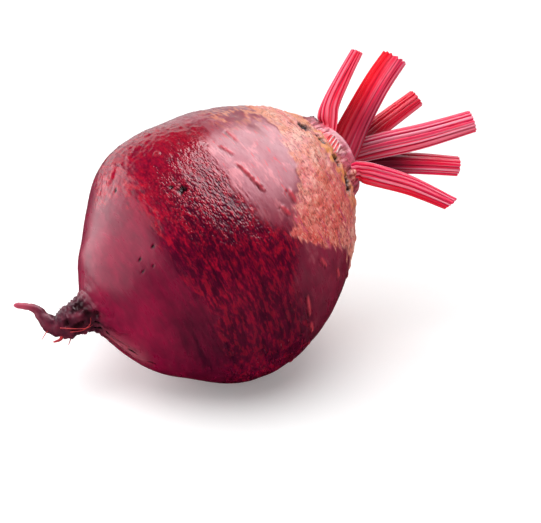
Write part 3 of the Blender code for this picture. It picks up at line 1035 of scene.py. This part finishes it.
def stalk_masks(spec, turn, tone, wave, number, fibres):
    """Where a stalk's skin has each of its colours, with the rings of the cut end last."""
    # Pale on the rib crests, partly a painted highlight, and along pale fibres.
    pale = smooth_step(0.66, 0.98, wave) * smooth_step(0.2, 0.7, number)
    pale += 0.6 * smooth_step(0.12, 0.5, fibres)
    # Dark in the furrows between ribs, painted shade, and along dark fibres.
    dark = smooth_step(0.38, 0.08, wave) * (0.3 + 0.7 * number) + 0.5 * smooth_step(-0.25, -0.6, fibres)
    low, high = spec["pink"]
    masks = {
        "pale": np.clip(spec["pale"] * pale, 0, 1),
        "dark": np.clip(dark, 0, 1),
        "pink": low + (high - low) * smooth_step(-0.7, 0.7, np.cos(turn)),
        # Painted shade on each stalk's base, where the stalks shade each other.
        "base": spec["base"] * smooth_step(14 + 20 * spec["base"], 6 + 12 * spec["base"], tone),
        "cut": 0 * tone,
    }
    for label, values in masks.items():
        ends = values[-1:] if label != "cut" else np.ones_like(values[-1:])
        masks[label] = np.concatenate([values, ends, ends])
    return masks


def make_stalk(settings, name, spec, material):
    rows = STUMP_ROWS if name == "stalk_stump" else STALK_ROWS
    seed = 10.0 * list(STALKS).index(name)
    share = np.linspace(0, STALK_END, rows)
    length = math.dist(spec["line"][0], spec["line"][-1])
    centre, run, across, out = stalk_frame(spec, share, length)
    width, depth = (through([(v, 0, 0) for v in spec[key]], share)[:, :1] for key in ("width", "depth"))
    turn, share = np.meshgrid(math.tau * np.arange(STALK_COLUMNS) / STALK_COLUMNS, share)
    wave, number, fibres = stalk_ribs(spec, seed, share, turn)
    furrow = settings.rib_depth * (1 - wave) ** 1.4 * (0.5 + number)
    size = 0.98 - furrow + 0.015 * fibres
    inner = np.where(np.sin(turn) < 0, INNER_SHARE, 1.0)
    side = width / 2 * size * np.cos(turn)
    deep = depth / 2 * size * inner * np.sin(turn)
    grid = centre[:, None] + across[:, None] * side[..., None] + out[:, None] * deep[..., None]
    seat = crown_height(np.hypot(grid[..., 1], grid[..., 2] - CROWN_UP))
    sunk = SUNK * smooth_step(3.0, 0, share * length)
    grid[..., 0] = np.maximum(grid[..., 0], seat) - sunk
    near_end = np.clip((np.arange(rows) - rows + 5) / 4, 0, 1)[:, None] ** 2
    shift = side * spec["cut_lean"] * near_end - spec["scallop"] * (1 - wave) * near_end
    grid += run[:, None] * shift[..., None]
    first = grid[0].mean(axis=0)
    last = grid[-1].mean(axis=0)
    # Two rings more lead over the rounded edge of the cut to its middle.
    cap = [last + (grid[-1] - last) * reach - run[-1] * sink for reach, sink in ((0.92, -0.04), (0.5, 0.15))]
    grid = np.concatenate([grid, np.array(cap)])
    masks = stalk_masks(spec, turn, share * length, wave, number, fibres)
    places = with_poles(grid, first, last - run[-1] * 0.2)
    return new_object(name + "_piece", STALK_COLUMNS, len(grid), places, padded_masks(masks), material)


def make_rootlets(settings):
    """Thin rootlets as one mesh of round tapering tubes."""
    tubes = []
    for line, thick in ROOTLETS:
        curve = bpy.data.curves.new("rootlet", "CURVE")
        curve.dimensions = "3D"
        curve.bevel_depth = thick / 2 * MM
        curve.bevel_resolution = 3
        curve.use_fill_caps = True
        spline = curve.splines.new("POLY")
        spots = through(line, np.linspace(0, 1, 16))
        spline.points.add(len(spots) - 1)
        for k, (point, spot) in enumerate(zip(spline.points, spots)):
            place = LYING @ Vector(spot) * MM + ROOT_CENTRE
            point.co = (*place, 1)
            point.radius = 1 - 0.75 * k / len(spots)
        tube = bpy.data.objects.new("rootlet", curve)
        bpy.context.scene.collection.objects.link(tube)
        tubes.append(tube)
    for tube in tubes:
        tube.select_set(True)
    bpy.context.view_layer.objects.active = tubes[0]
    bpy.ops.object.convert(target="MESH")
    bpy.ops.object.join()
    piece = bpy.context.object
    piece.name = "rootlets_piece"
    bpy.ops.object.shade_smooth()
    piece.data.materials.append(rootlet_material(settings))
    piece.select_set(False)
    return piece


def put(tree, kind, inputs=None, **values):
    """A new node. inputs maps a socket's name or number to a value, or to another node's output."""
    node = tree.nodes.new(kind)
    for name, value in values.items():
        setattr(node, name, value)
    for name, value in (inputs or {}).items():
        socket = node.inputs[name]
        if isinstance(value, bpy.types.NodeSocket):
            tree.links.new(value, socket)
        else:
            socket.default_value = value
    return node


def colour_mix(tree, factor, first, second):
    node = put(tree, "ShaderNodeMix", data_type="RGBA")
    for index, value in ((0, factor), (6, first), (7, second)):
        if isinstance(value, bpy.types.NodeSocket):
            tree.links.new(value, node.inputs[index])
        else:
            node.inputs[index].default_value = value
    return node.outputs[2]


def maths(tree, operation, first, second, clamp=False):
    return put(tree, "ShaderNodeMath", {0: first, 1: second}, operation=operation, use_clamp=clamp).outputs[0]


def fit(tree, value, low, high, to_low=0.0, to_high=1.0):
    """The value moved from one range to another, and kept in it."""
    inputs = {0: value, 1: low, 2: high, 3: to_low, 4: to_high}
    return put(tree, "ShaderNodeMapRange", inputs, interpolation_type="SMOOTHSTEP").outputs[0]


def mask(tree, name):
    return put(tree, "ShaderNodeAttribute", attribute_name=name).outputs["Fac"]


def shade_noise(tree, vector, scale, detail=4.0, roughness=0.55):
    inputs = {"Vector": vector, "Scale": scale, "Detail": detail, "Roughness": roughness}
    return put(tree, "ShaderNodeTexNoise", inputs).outputs[0]


def own_frame(tree):
    """Object coordinates turned into the root's own frame."""
    place = put(tree, "ShaderNodeTexCoord").outputs["Object"]
    turned = put(tree, "ShaderNodeMapping", {"Vector": place}, vector_type="TEXTURE")
    turned.inputs["Location"].default_value = ROOT_CENTRE
    turned.inputs["Rotation"].default_value = LYING.to_euler()
    return turned.outputs[0]


def stretched(tree, vector, scale):
    """The vector with its axes scaled, so that a pattern on it is drawn out."""
    return put(tree, "ShaderNodeMapping", {"Vector": vector, "Scale": scale}).outputs[0]


def grain_group():
    """Fibres and speckle that the skin of the root, its crown and the stalks all show."""
    group = bpy.data.node_groups.get("Plant grain")
    if group:
        return group
    group = bpy.data.node_groups.new("Plant grain", "ShaderNodeTree")
    group.interface.new_socket("Vector", in_out="INPUT", socket_type="NodeSocketVector")
    scale = group.interface.new_socket("Scale", in_out="INPUT", socket_type="NodeSocketFloat")
    scale.default_value = 600
    group.interface.new_socket("Fibres", in_out="OUTPUT", socket_type="NodeSocketFloat")
    group.interface.new_socket("Speckle", in_out="OUTPUT", socket_type="NodeSocketFloat")
    start = group.nodes.new("NodeGroupInput")
    end = group.nodes.new("NodeGroupOutput")
    drawn_out = stretched(group, start.outputs["Vector"], (1.0, 0.22, 0.22))
    fibres = shade_noise(group, drawn_out, start.outputs["Scale"], 5, 0.6)
    speckle = shade_noise(group, start.outputs["Vector"], start.outputs["Scale"], 3, 0.5)
    group.links.new(fit(group, fibres, 0.32, 0.68), end.inputs["Fibres"])
    group.links.new(fit(group, speckle, 0.36, 0.64), end.inputs["Speckle"])
    return group


def grain(tree, vector, scale):
    node = put(tree, "ShaderNodeGroup", node_tree=grain_group())
    tree.links.new(vector, node.inputs["Vector"])
    node.inputs["Scale"].default_value = scale
    return node.outputs["Fibres"], node.outputs["Speckle"]


def new_material(name):
    material = bpy.data.materials.new(name)
    material.use_nodes = True
    return material, material.node_tree, material.node_tree.nodes["Principled BSDF"]


def add_bump(tree, shader, height, strength, distance):
    bump = put(tree, "ShaderNodeBump", {"Strength": strength, "Distance": distance, "Height": height})
    tree.links.new(bump.outputs[0], shader.inputs["Normal"])


def rgba(colour):
    return (*colour, 1)


def times(tree, *values):
    """The product of masks, each kept from 0 to 1."""
    product = values[0]
    for value in values[1:]:
        product = maths(tree, "MULTIPLY", product, value, True)
    return product


def sum_of(tree, *values):
    total = values[0]
    for value in values[1:]:
        total = maths(tree, "ADD", total, value)
    return total


def part_of(tree, patterns, part):
    """A number as it is, or the value that a part of a layer's mask names."""
    if isinstance(part, float):
        return part
    name, *ranges = (part,) if isinstance(part, str) else part
    value = patterns[name] if name in patterns else mask(tree, name)
    return fit(tree, value, *ranges) if ranges else value


def layered(tree, settings, patterns, colour, layers):
    """The colour with these layers laid over it."""
    for paint, parts in layers:
        factor = times(tree, *(part_of(tree, patterns, part) for part in parts))
        colour = colour_mix(tree, factor, colour, rgba(getattr(settings, paint)))
    return colour


def two_tone(tree, pattern, low, high, first, second):
    """Two colours that take turns along a pattern."""
    return colour_mix(tree, fit(tree, pattern, low, high), rgba(first), rgba(second))


def root_material(settings):
    material, tree, shader = new_material("Beetroot skin")
    own = own_frame(tree)
    fibres, _ = grain(tree, own, GRAIN_SCALE)
    patterns = {
        name: shade_noise(tree, stretched(tree, own, (1, across, across)), scale, detail, roughness)
        for name, (across, scale, detail, roughness) in SKIN_PATTERNS.items()
    }
    broad, blotch, streak = patterns["broad"], patterns["blotch"], patterns["streak"]
    scales = {"Vector": stretched(tree, own, (1, 0.5, 0.5)), "Scale": SCALES_SCALE}
    scale_height = put(tree, "ShaderNodeTexVoronoi", scales, feature="SMOOTH_F1").outputs["Distance"]
    patterns |= {"fibres": fibres, "scales": scale_height}

    deep = fit(tree, broad, 0.35, 0.65, 0.35, 1)
    colour = colour_mix(tree, deep, rgba(settings.skin_deep), rgba(settings.skin_wine))
    colour = layered(tree, settings, patterns, colour, SKIN_LAYERS)
    mottle = sum_of(tree, times(tree, blotch, 0.4), times(tree, broad, 0.6))
    cork_tone = two_tone(tree, mottle, 0.42, 0.56, settings.cork_pink, settings.cork_orange)
    cork_tone = layered(tree, settings, patterns, cork_tone, CORK_LAYERS)
    cork = fit(tree, sum_of(tree, mask(tree, "cork"), times(tree, streak, 0.9)), 0.55, 1.2)
    colour = colour_mix(tree, cork, colour, cork_tone)
    colour = layered(tree, settings, patterns, colour, SHOULDER_LAYERS)
    tail_tone = two_tone(tree, blotch, 0.35, 0.65, settings.tail_dark, settings.tail_skin)
    tail_tone = colour_mix(tree, mask(tree, "tip"), tail_tone, rgba(settings.tail_pink))
    colour = colour_mix(tree, mask(tree, "tail"), colour, tail_tone)
    colour = layered(tree, settings, patterns, colour, MARK_LAYERS)
    tree.links.new(colour, shader.inputs["Base Color"])

    # The rough band is wetter, the shoulder and the tap root are drier, and pits glint.
    wet = times(tree, mask(tree, "rough"), 0.09)
    dry = fit(tree, cork, 0, 1, 0.27, 0.52)
    rough = sum_of(tree, maths(tree, "SUBTRACT", dry, wet), times(tree, fibres, 0.05))
    rough = sum_of(tree, rough, times(tree, mask(tree, "tail"), 0.12))
    rough = maths(tree, "SUBTRACT", rough, times(tree, mask(tree, "pits_and_shade"), 0.16))
    tree.links.new(rough, shader.inputs["Roughness"])
    shader.inputs["Specular IOR Level"].default_value = 0.3
    shader.inputs["Specular Tint"].default_value = rgba(settings.skin_shine)

    skin = times(tree, sum_of(tree, times(tree, fibres, 0.5), times(tree, blotch, 0.5)), 0.14)
    domes = maths(tree, "SUBTRACT", 1.0, scale_height)
    scaly = times(tree, mask(tree, "scaly"), domes, fit(tree, blotch, 0.35, 0.5, 0.3, 0.8))
    crust = sum_of(tree, times(tree, patterns["grit"], 0.6), times(tree, patterns["patchy"], 0.8), -0.7)
    height = sum_of(tree, skin, scaly, maths(tree, "MULTIPLY", cork, crust))
    add_bump(tree, shader, height, 0.9, 0.00035)
    return material


def crown_material(settings):
    material, tree, shader = new_material("Crown skin")
    own = own_frame(tree)
    fibres, speckle = grain(tree, own, GRAIN_SCALE)
    blotch = shade_noise(tree, stretched(tree, own, (0.5, 1, 1)), 500, 4)
    patterns = {"speckle": speckle, "blotch": blotch}
    colour = two_tone(tree, blotch, 0.42, 0.58, settings.collar_pink, settings.collar_red)
    colour = layered(tree, settings, patterns, colour, CROWN_LAYERS)
    tree.links.new(colour, shader.inputs["Base Color"])
    shader.inputs["Roughness"].default_value = 0.4
    height = sum_of(tree, times(tree, fibres, 0.5), times(tree, blotch, 0.5))
    add_bump(tree, shader, height, 0.6, 0.0002)
    return material


def stalk_material(settings):
    material, tree, shader = new_material("Leaf stalk skin")
    place = put(tree, "ShaderNodeTexCoord").outputs["Object"]
    broad = shade_noise(tree, place, 160, 3)
    fine = shade_noise(tree, place, 1500, 3)
    pinkness = times(tree, mask(tree, "pink"), fit(tree, broad, 0.3, 0.6, 0.6, 1))
    colour = colour_mix(tree, pinkness, rgba(settings.stalk_red), rgba(settings.stalk_pink))
    colour = layered(tree, settings, {"pinkness": pinkness}, colour, STALK_LAYERS)
    tree.links.new(colour, shader.inputs["Base Color"])
    shader.inputs["Roughness"].default_value = 0.3
    shader.inputs["Specular IOR Level"].default_value = 0.2
    shader.inputs["Specular Tint"].default_value = rgba(settings.skin_shine)
    add_bump(tree, shader, fine, 0.35, 0.0001)
    return material


def rootlet_material(settings):
    material, tree, shader = new_material("Rootlet skin")
    place = put(tree, "ShaderNodeTexCoord").outputs["Object"]
    blotch = shade_noise(tree, place, 500, 3)
    colour = two_tone(tree, blotch, 0.35, 0.65, settings.glow_red, settings.rootlet_red)
    tree.links.new(colour, shader.inputs["Base Color"])
    shader.inputs["Roughness"].default_value = 0.5
    return material


def colour_setting(name, description, default):
    return FloatVectorProperty(
        name=name, description=description, default=default, min=0, max=1, size=3, subtype="COLOR"
    )


def length_setting(name, description, default, lowest=0.0):
    return FloatProperty(
        name=name, description=description, default=default, min=lowest, subtype="DISTANCE", unit="LENGTH"
    )


def power_setting(name, description, default):
    return FloatProperty(name=name, description=description, default=default, min=0, unit="POWER")


class BeetrootSettings(bpy.types.PropertyGroup):
    blister_height: length_setting("Blister height", "How far the blisters round the root stand up", 0.0003)
    cork_height: length_setting("Cork height", "How rough the corky shoulder is", 0.0006)
    rib_depth: FloatProperty(
        name="Rib depth",
        description="Depth of the furrows between a stalk's ribs, as a share of its radius",
        default=0.12,
        min=0,
        max=0.5,
        subtype="FACTOR",
    )
    skin_wine: colour_setting("Skin", "The root's skin", (0.265, 0.0006, 0.034))
    skin_deep: colour_setting("Deep skin", "The darker blotches of the skin", (0.14, 0.0004, 0.022))
    skin_red: colour_setting("Flushed skin", "Where the skin is bright red", (0.55, 0.004, 0.022))
    # Both the skin's own dark flecks and streaks and the painted shade in its grooves and on its lower near
    # side.
    dark_skin_and_shade: colour_setting("Dark skin", "Where the skin is nearly black", (0.040, 0.001, 0.012))
    skin_shine: colour_setting("Shine", "The tint of light that the skin mirrors", (1.0, 0.78, 0.84))
    # On the root it is laid only where the lights fall, as painted light; on the rootlets it is their own
    # red.
    glow_red: colour_setting("Glowing skin", "Red skin beside the paler skin", (0.36, 0.005, 0.026))
    # Partly a painted sheen over the paler skin.
    bloom_and_sheen_mauve: colour_setting("Bloom", "The paler skin below the shoulder", (0.37, 0.095, 0.125))
    bloom_pink: colour_setting("Flakes", "Thin pink flakes on the paler skin", (0.70, 0.19, 0.22))
    cork_pink: colour_setting("Pink cork", "The corky shoulder", (0.80, 0.29, 0.27))
    cork_orange: colour_setting("Orange cork", "Orange patches on the shoulder", (0.76, 0.26, 0.15))
    cork_cream: colour_setting("Cream cork", "Pale patches on the shoulder", (0.92, 0.52, 0.40))
    cork_brown: colour_setting("Brown cork", "Dark speckle on the shoulder", (0.26, 0.04, 0.03))
    cork_rust: colour_setting("Rusty cork", "The shoulder low on the near side", (0.68, 0.062, 0.050))
    violet: colour_setting("Violet streak", "A streak beside the shoulder's edge", (0.50, 0.03, 0.13))
    lip_gold: colour_setting("Lip", "The golden edge of the shoulder", (0.82, 0.30, 0.07))
    rootlet_red: colour_setting("Rootlets", "The rootlets' skin", (0.60, 0.03, 0.03))
    tail_skin: colour_setting("Tap root", "The tap root's skin", (0.13, 0.010, 0.028))
    tail_dark: colour_setting("Dark tap root", "Darker patches of the tap root", (0.05, 0.004, 0.016))
    tail_pink: colour_setting("Tap root tip", "The thin end of the tap root", (0.40, 0.05, 0.09))
    bare_pink: colour_setting("Dashes", "Raised dashes on the skin", (0.60, 0.045, 0.07))
    # The pits, and painted shade in cracks, hollows and the groove.
    pits_and_shade_black: colour_setting("Pits", "Pits, cracks and the groove", (0.010, 0.002, 0.003))
    collar_pink: colour_setting("Collar", "The crown's wall", (0.66, 0.095, 0.16))
    collar_red: colour_setting("Red collar", "Redder patches of the crown's wall", (0.28, 0.008, 0.035))
    rim_pale: colour_setting("Rim", "The smooth edge of the crown", (0.74, 0.22, 0.31))
    tooth_white: colour_setting("Fibres", "White fibres on the crown's wall", (0.85, 0.55, 0.55))
    stalk_red: colour_setting("Stalk", "The stalks' skin", (0.95, 0.002, 0.018))
    stalk_pink: colour_setting("Pink stalk", "The skin where the stalks are pinker", (0.93, 0.018, 0.115))
    # On the stalks, partly a painted highlight on the rib crests.
    stalk_pale: colour_setting("Rib", "The backs of the ribs", (0.98, 0.38, 0.50))
    # Painted shade in the stalks' furrows and on the crown's top between them.
    stalk_deep_shade: colour_setting("Furrow", "The furrows between the ribs", (0.14, 0.001, 0.014))
    # Painted shade on the stalks' bases.
    stalk_shade: colour_setting("Stalk base", "The skin between the stalks' bases", (0.05, 0.001, 0.010))
    cut_pale: colour_setting("Cut end", "The cut ends of the stalks", (0.80, 0.30, 0.36))


class StageSettings(bpy.types.PropertyGroup):
    distance: length_setting("Camera distance", "From the camera to the middle of the view", 0.6, 0.1)
    view_width: length_setting("View width", "How much the view takes in at the beetroot", 0.1623, 0.01)
    key_power: power_setting("Key light", "The wide soft light overhead", 7.4)
    sheen_power: power_setting("Sheen light", "The light that the shoulder mirrors", 15.0)
    side_power: power_setting("Side light", "The low light on the left", 0.165)
    side_shine_power: power_setting("Side shine", "A light that the left side only mirrors", 0.10)
    back_power: power_setting("Back light", "The wide dim light behind", 1.2)
    fill: FloatProperty(name="Fill", description="How bright the room is", default=0.35, min=0)
    floor_glow: FloatProperty(
        name="Floor glow",
        description="Light from the floor itself, which softens the shadow",
        default=0.20,
        min=0,
    )


def settings_of(context):
    return context.scene.beetroot


def seat_piece(piece, node):
    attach(piece, "root")
    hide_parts(node)


class BEETROOT_OT_root(bpy.types.Operator):
    """Models the root's skin, from the groove round the crown to the tip of the tap root"""

    bl_idname = "beetroot.root"
    bl_label = "Root"

    def execute(self, context):
        seat_piece(make_root(settings_of(context)), "beet_root")
        return {"FINISHED"}


class BEETROOT_OT_crown(bpy.types.Operator):
    """Models the crown that the stalks grow from"""

    bl_idname = "beetroot.crown"
    bl_label = "Crown"

    def execute(self, context):
        seat_piece(make_crown(settings_of(context)), "beet_root")
        return {"FINISHED"}


class BEETROOT_OT_stalks(bpy.types.Operator):
    """Models the cut leaf stalks"""

    bl_idname = "beetroot.stalks"
    bl_label = "Leaf stalks"

    def execute(self, context):
        settings = settings_of(context)
        material = stalk_material(settings)
        for name, spec in STALKS.items():
            seat_piece(make_stalk(settings, name, spec, material), name)
        return {"FINISHED"}


class BEETROOT_OT_rootlets(bpy.types.Operator):
    """Models the thin rootlets on the tap root"""

    bl_idname = "beetroot.rootlets"
    bl_label = "Rootlets"

    def execute(self, context):
        seat_piece(make_rootlets(settings_of(context)), "beet_root")
        return {"FINISHED"}


def add_light(name, place, aim, shape, size, power):
    """A soft light at a place in metres from the root's centre, facing another such place."""
    spot = ROOT_CENTRE + Vector(place)
    bpy.ops.object.light_add(type="AREA", location=spot)
    light = bpy.context.object
    light.name = name
    light.rotation_euler = (ROOT_CENTRE + Vector(aim) - spot).to_track_quat("-Z", "Y").to_euler()
    light.data.shape = shape
    light.data.size = size[0]
    light.data.size_y = size[1]
    light.data.energy = power
    light.visible_camera = False
    light.select_set(False)
    return light


def make_floor(stage):
    bpy.ops.mesh.primitive_plane_add(size=FLOOR_SIZE)
    floor = bpy.context.object
    floor.name = "floor"
    floor.select_set(False)
    floor.visible_glossy = False
    material, _, shader = new_material("Pale floor")
    shader.inputs["Base Color"].default_value = (0.9, 0.9, 0.9, 1)
    shader.inputs["Roughness"].default_value = 1
    shader.inputs["Specular IOR Level"].default_value = 0
    shader.inputs["Emission Color"].default_value = (1, 1, 1, 1)
    shader.inputs["Emission Strength"].default_value = stage.floor_glow
    material.cycles.emission_sampling = "NONE"
    floor.data.materials.append(material)


def make_lights(stage):
    key = add_light("key", KEY_PLACE, (0, 0, 0), "ELLIPSE", KEY_SIZE, stage.key_power)
    key.visible_glossy = False
    sheen = add_light("sheen", SHEEN_PLACE, (0, 0, 0), "ELLIPSE", SHEEN_SIZE, stage.sheen_power)
    sheen.visible_diffuse = False
    add_light("side", SIDE_PLACE, SIDE_AIM, "RECTANGLE", SIDE_SIZE, stage.side_power)
    side_shine = add_light("side shine", SIDE_PLACE, SIDE_AIM, "RECTANGLE", SIDE_SIZE, stage.side_shine_power)
    side_shine.visible_diffuse = False
    add_light("back", BACK_PLACE, (0, 0, 0), "RECTANGLE", BACK_SIZE, stage.back_power)


def make_room(stage):
    """The even light of the room, which nothing mirrors."""
    world = bpy.data.worlds.new("room")
    world.use_nodes = True
    world.node_tree.nodes["Background"].inputs["Color"].default_value = (1, 1, 1, 1)
    world.node_tree.nodes["Background"].inputs["Strength"].default_value = stage.fill
    world.cycles_visibility.glossy = False
    bpy.context.scene.world = world


def make_camera(stage):
    right = Vector((1, 0, 0))
    up = Vector((0, math.sin(VIEW_TILT), math.cos(VIEW_TILT)))
    ahead = Vector((0, math.cos(VIEW_TILT), -math.sin(VIEW_TILT)))
    target = ROOT_CENTRE + right * CAMERA_RIGHT * MM - up * CAMERA_DOWN * MM
    bpy.ops.object.camera_add(location=target - ahead * stage.distance)
    camera = bpy.context.object
    camera.rotation_euler = (math.pi / 2 - VIEW_TILT, 0, 0)
    camera.data.sensor_fit = "HORIZONTAL"
    camera.data.sensor_width = SENSOR
    camera.data.lens = SENSOR * stage.distance / stage.view_width
    camera.select_set(False)
    bpy.context.scene.camera = camera


def make_stage(stage):
    make_floor(stage)
    make_lights(stage)
    make_room(stage)
    make_camera(stage)
    bpy.context.scene.view_settings.view_transform = "Standard"


class BEETROOT_OT_stage(bpy.types.Operator):
    """Lays the pale floor and sets up the lights and the camera"""

    bl_idname = "beetroot.stage"
    bl_label = "Stage"

    def execute(self, context):
        make_stage(context.scene.beetroot_stage)
        return {"FINISHED"}


class BEETROOT_PT_panel(bpy.types.Panel):
    """The beetroot's settings and steps"""

    bl_idname = "BEETROOT_PT_panel"
    bl_label = "Beetroot"
    bl_space_type = "VIEW_3D"
    bl_region_type = "UI"
    bl_category = "Beetroot"

    def draw(self, context):
        for group in (context.scene.beetroot, context.scene.beetroot_stage):
            for name in group.__annotations__:
                self.layout.prop(group, name)
        for step in STEPS:
            self.layout.operator(step.bl_idname)


STEPS = (
    BEETROOT_OT_stage,
    BEETROOT_OT_root,
    BEETROOT_OT_crown,
    BEETROOT_OT_rootlets,
    BEETROOT_OT_stalks,
)
CLASSES = (BeetrootSettings, StageSettings, *STEPS, BEETROOT_PT_panel)


def register():
    for cls in CLASSES:
        bpy.utils.register_class(cls)
    bpy.types.Scene.beetroot = PointerProperty(type=BeetrootSettings)
    bpy.types.Scene.beetroot_stage = PointerProperty(type=StageSettings)


def unregister():
    del bpy.types.Scene.beetroot_stage
    del bpy.types.Scene.beetroot
    for cls in reversed(CLASSES):
        bpy.utils.unregister_class(cls)


def main():
    register()
    bpy.ops.beetroot.stage()
    bpy.ops.beetroot.root()
    bpy.ops.beetroot.crown()
    bpy.ops.beetroot.rootlets()
    bpy.ops.beetroot.stalks()


if __name__ == "__main__":
    main()
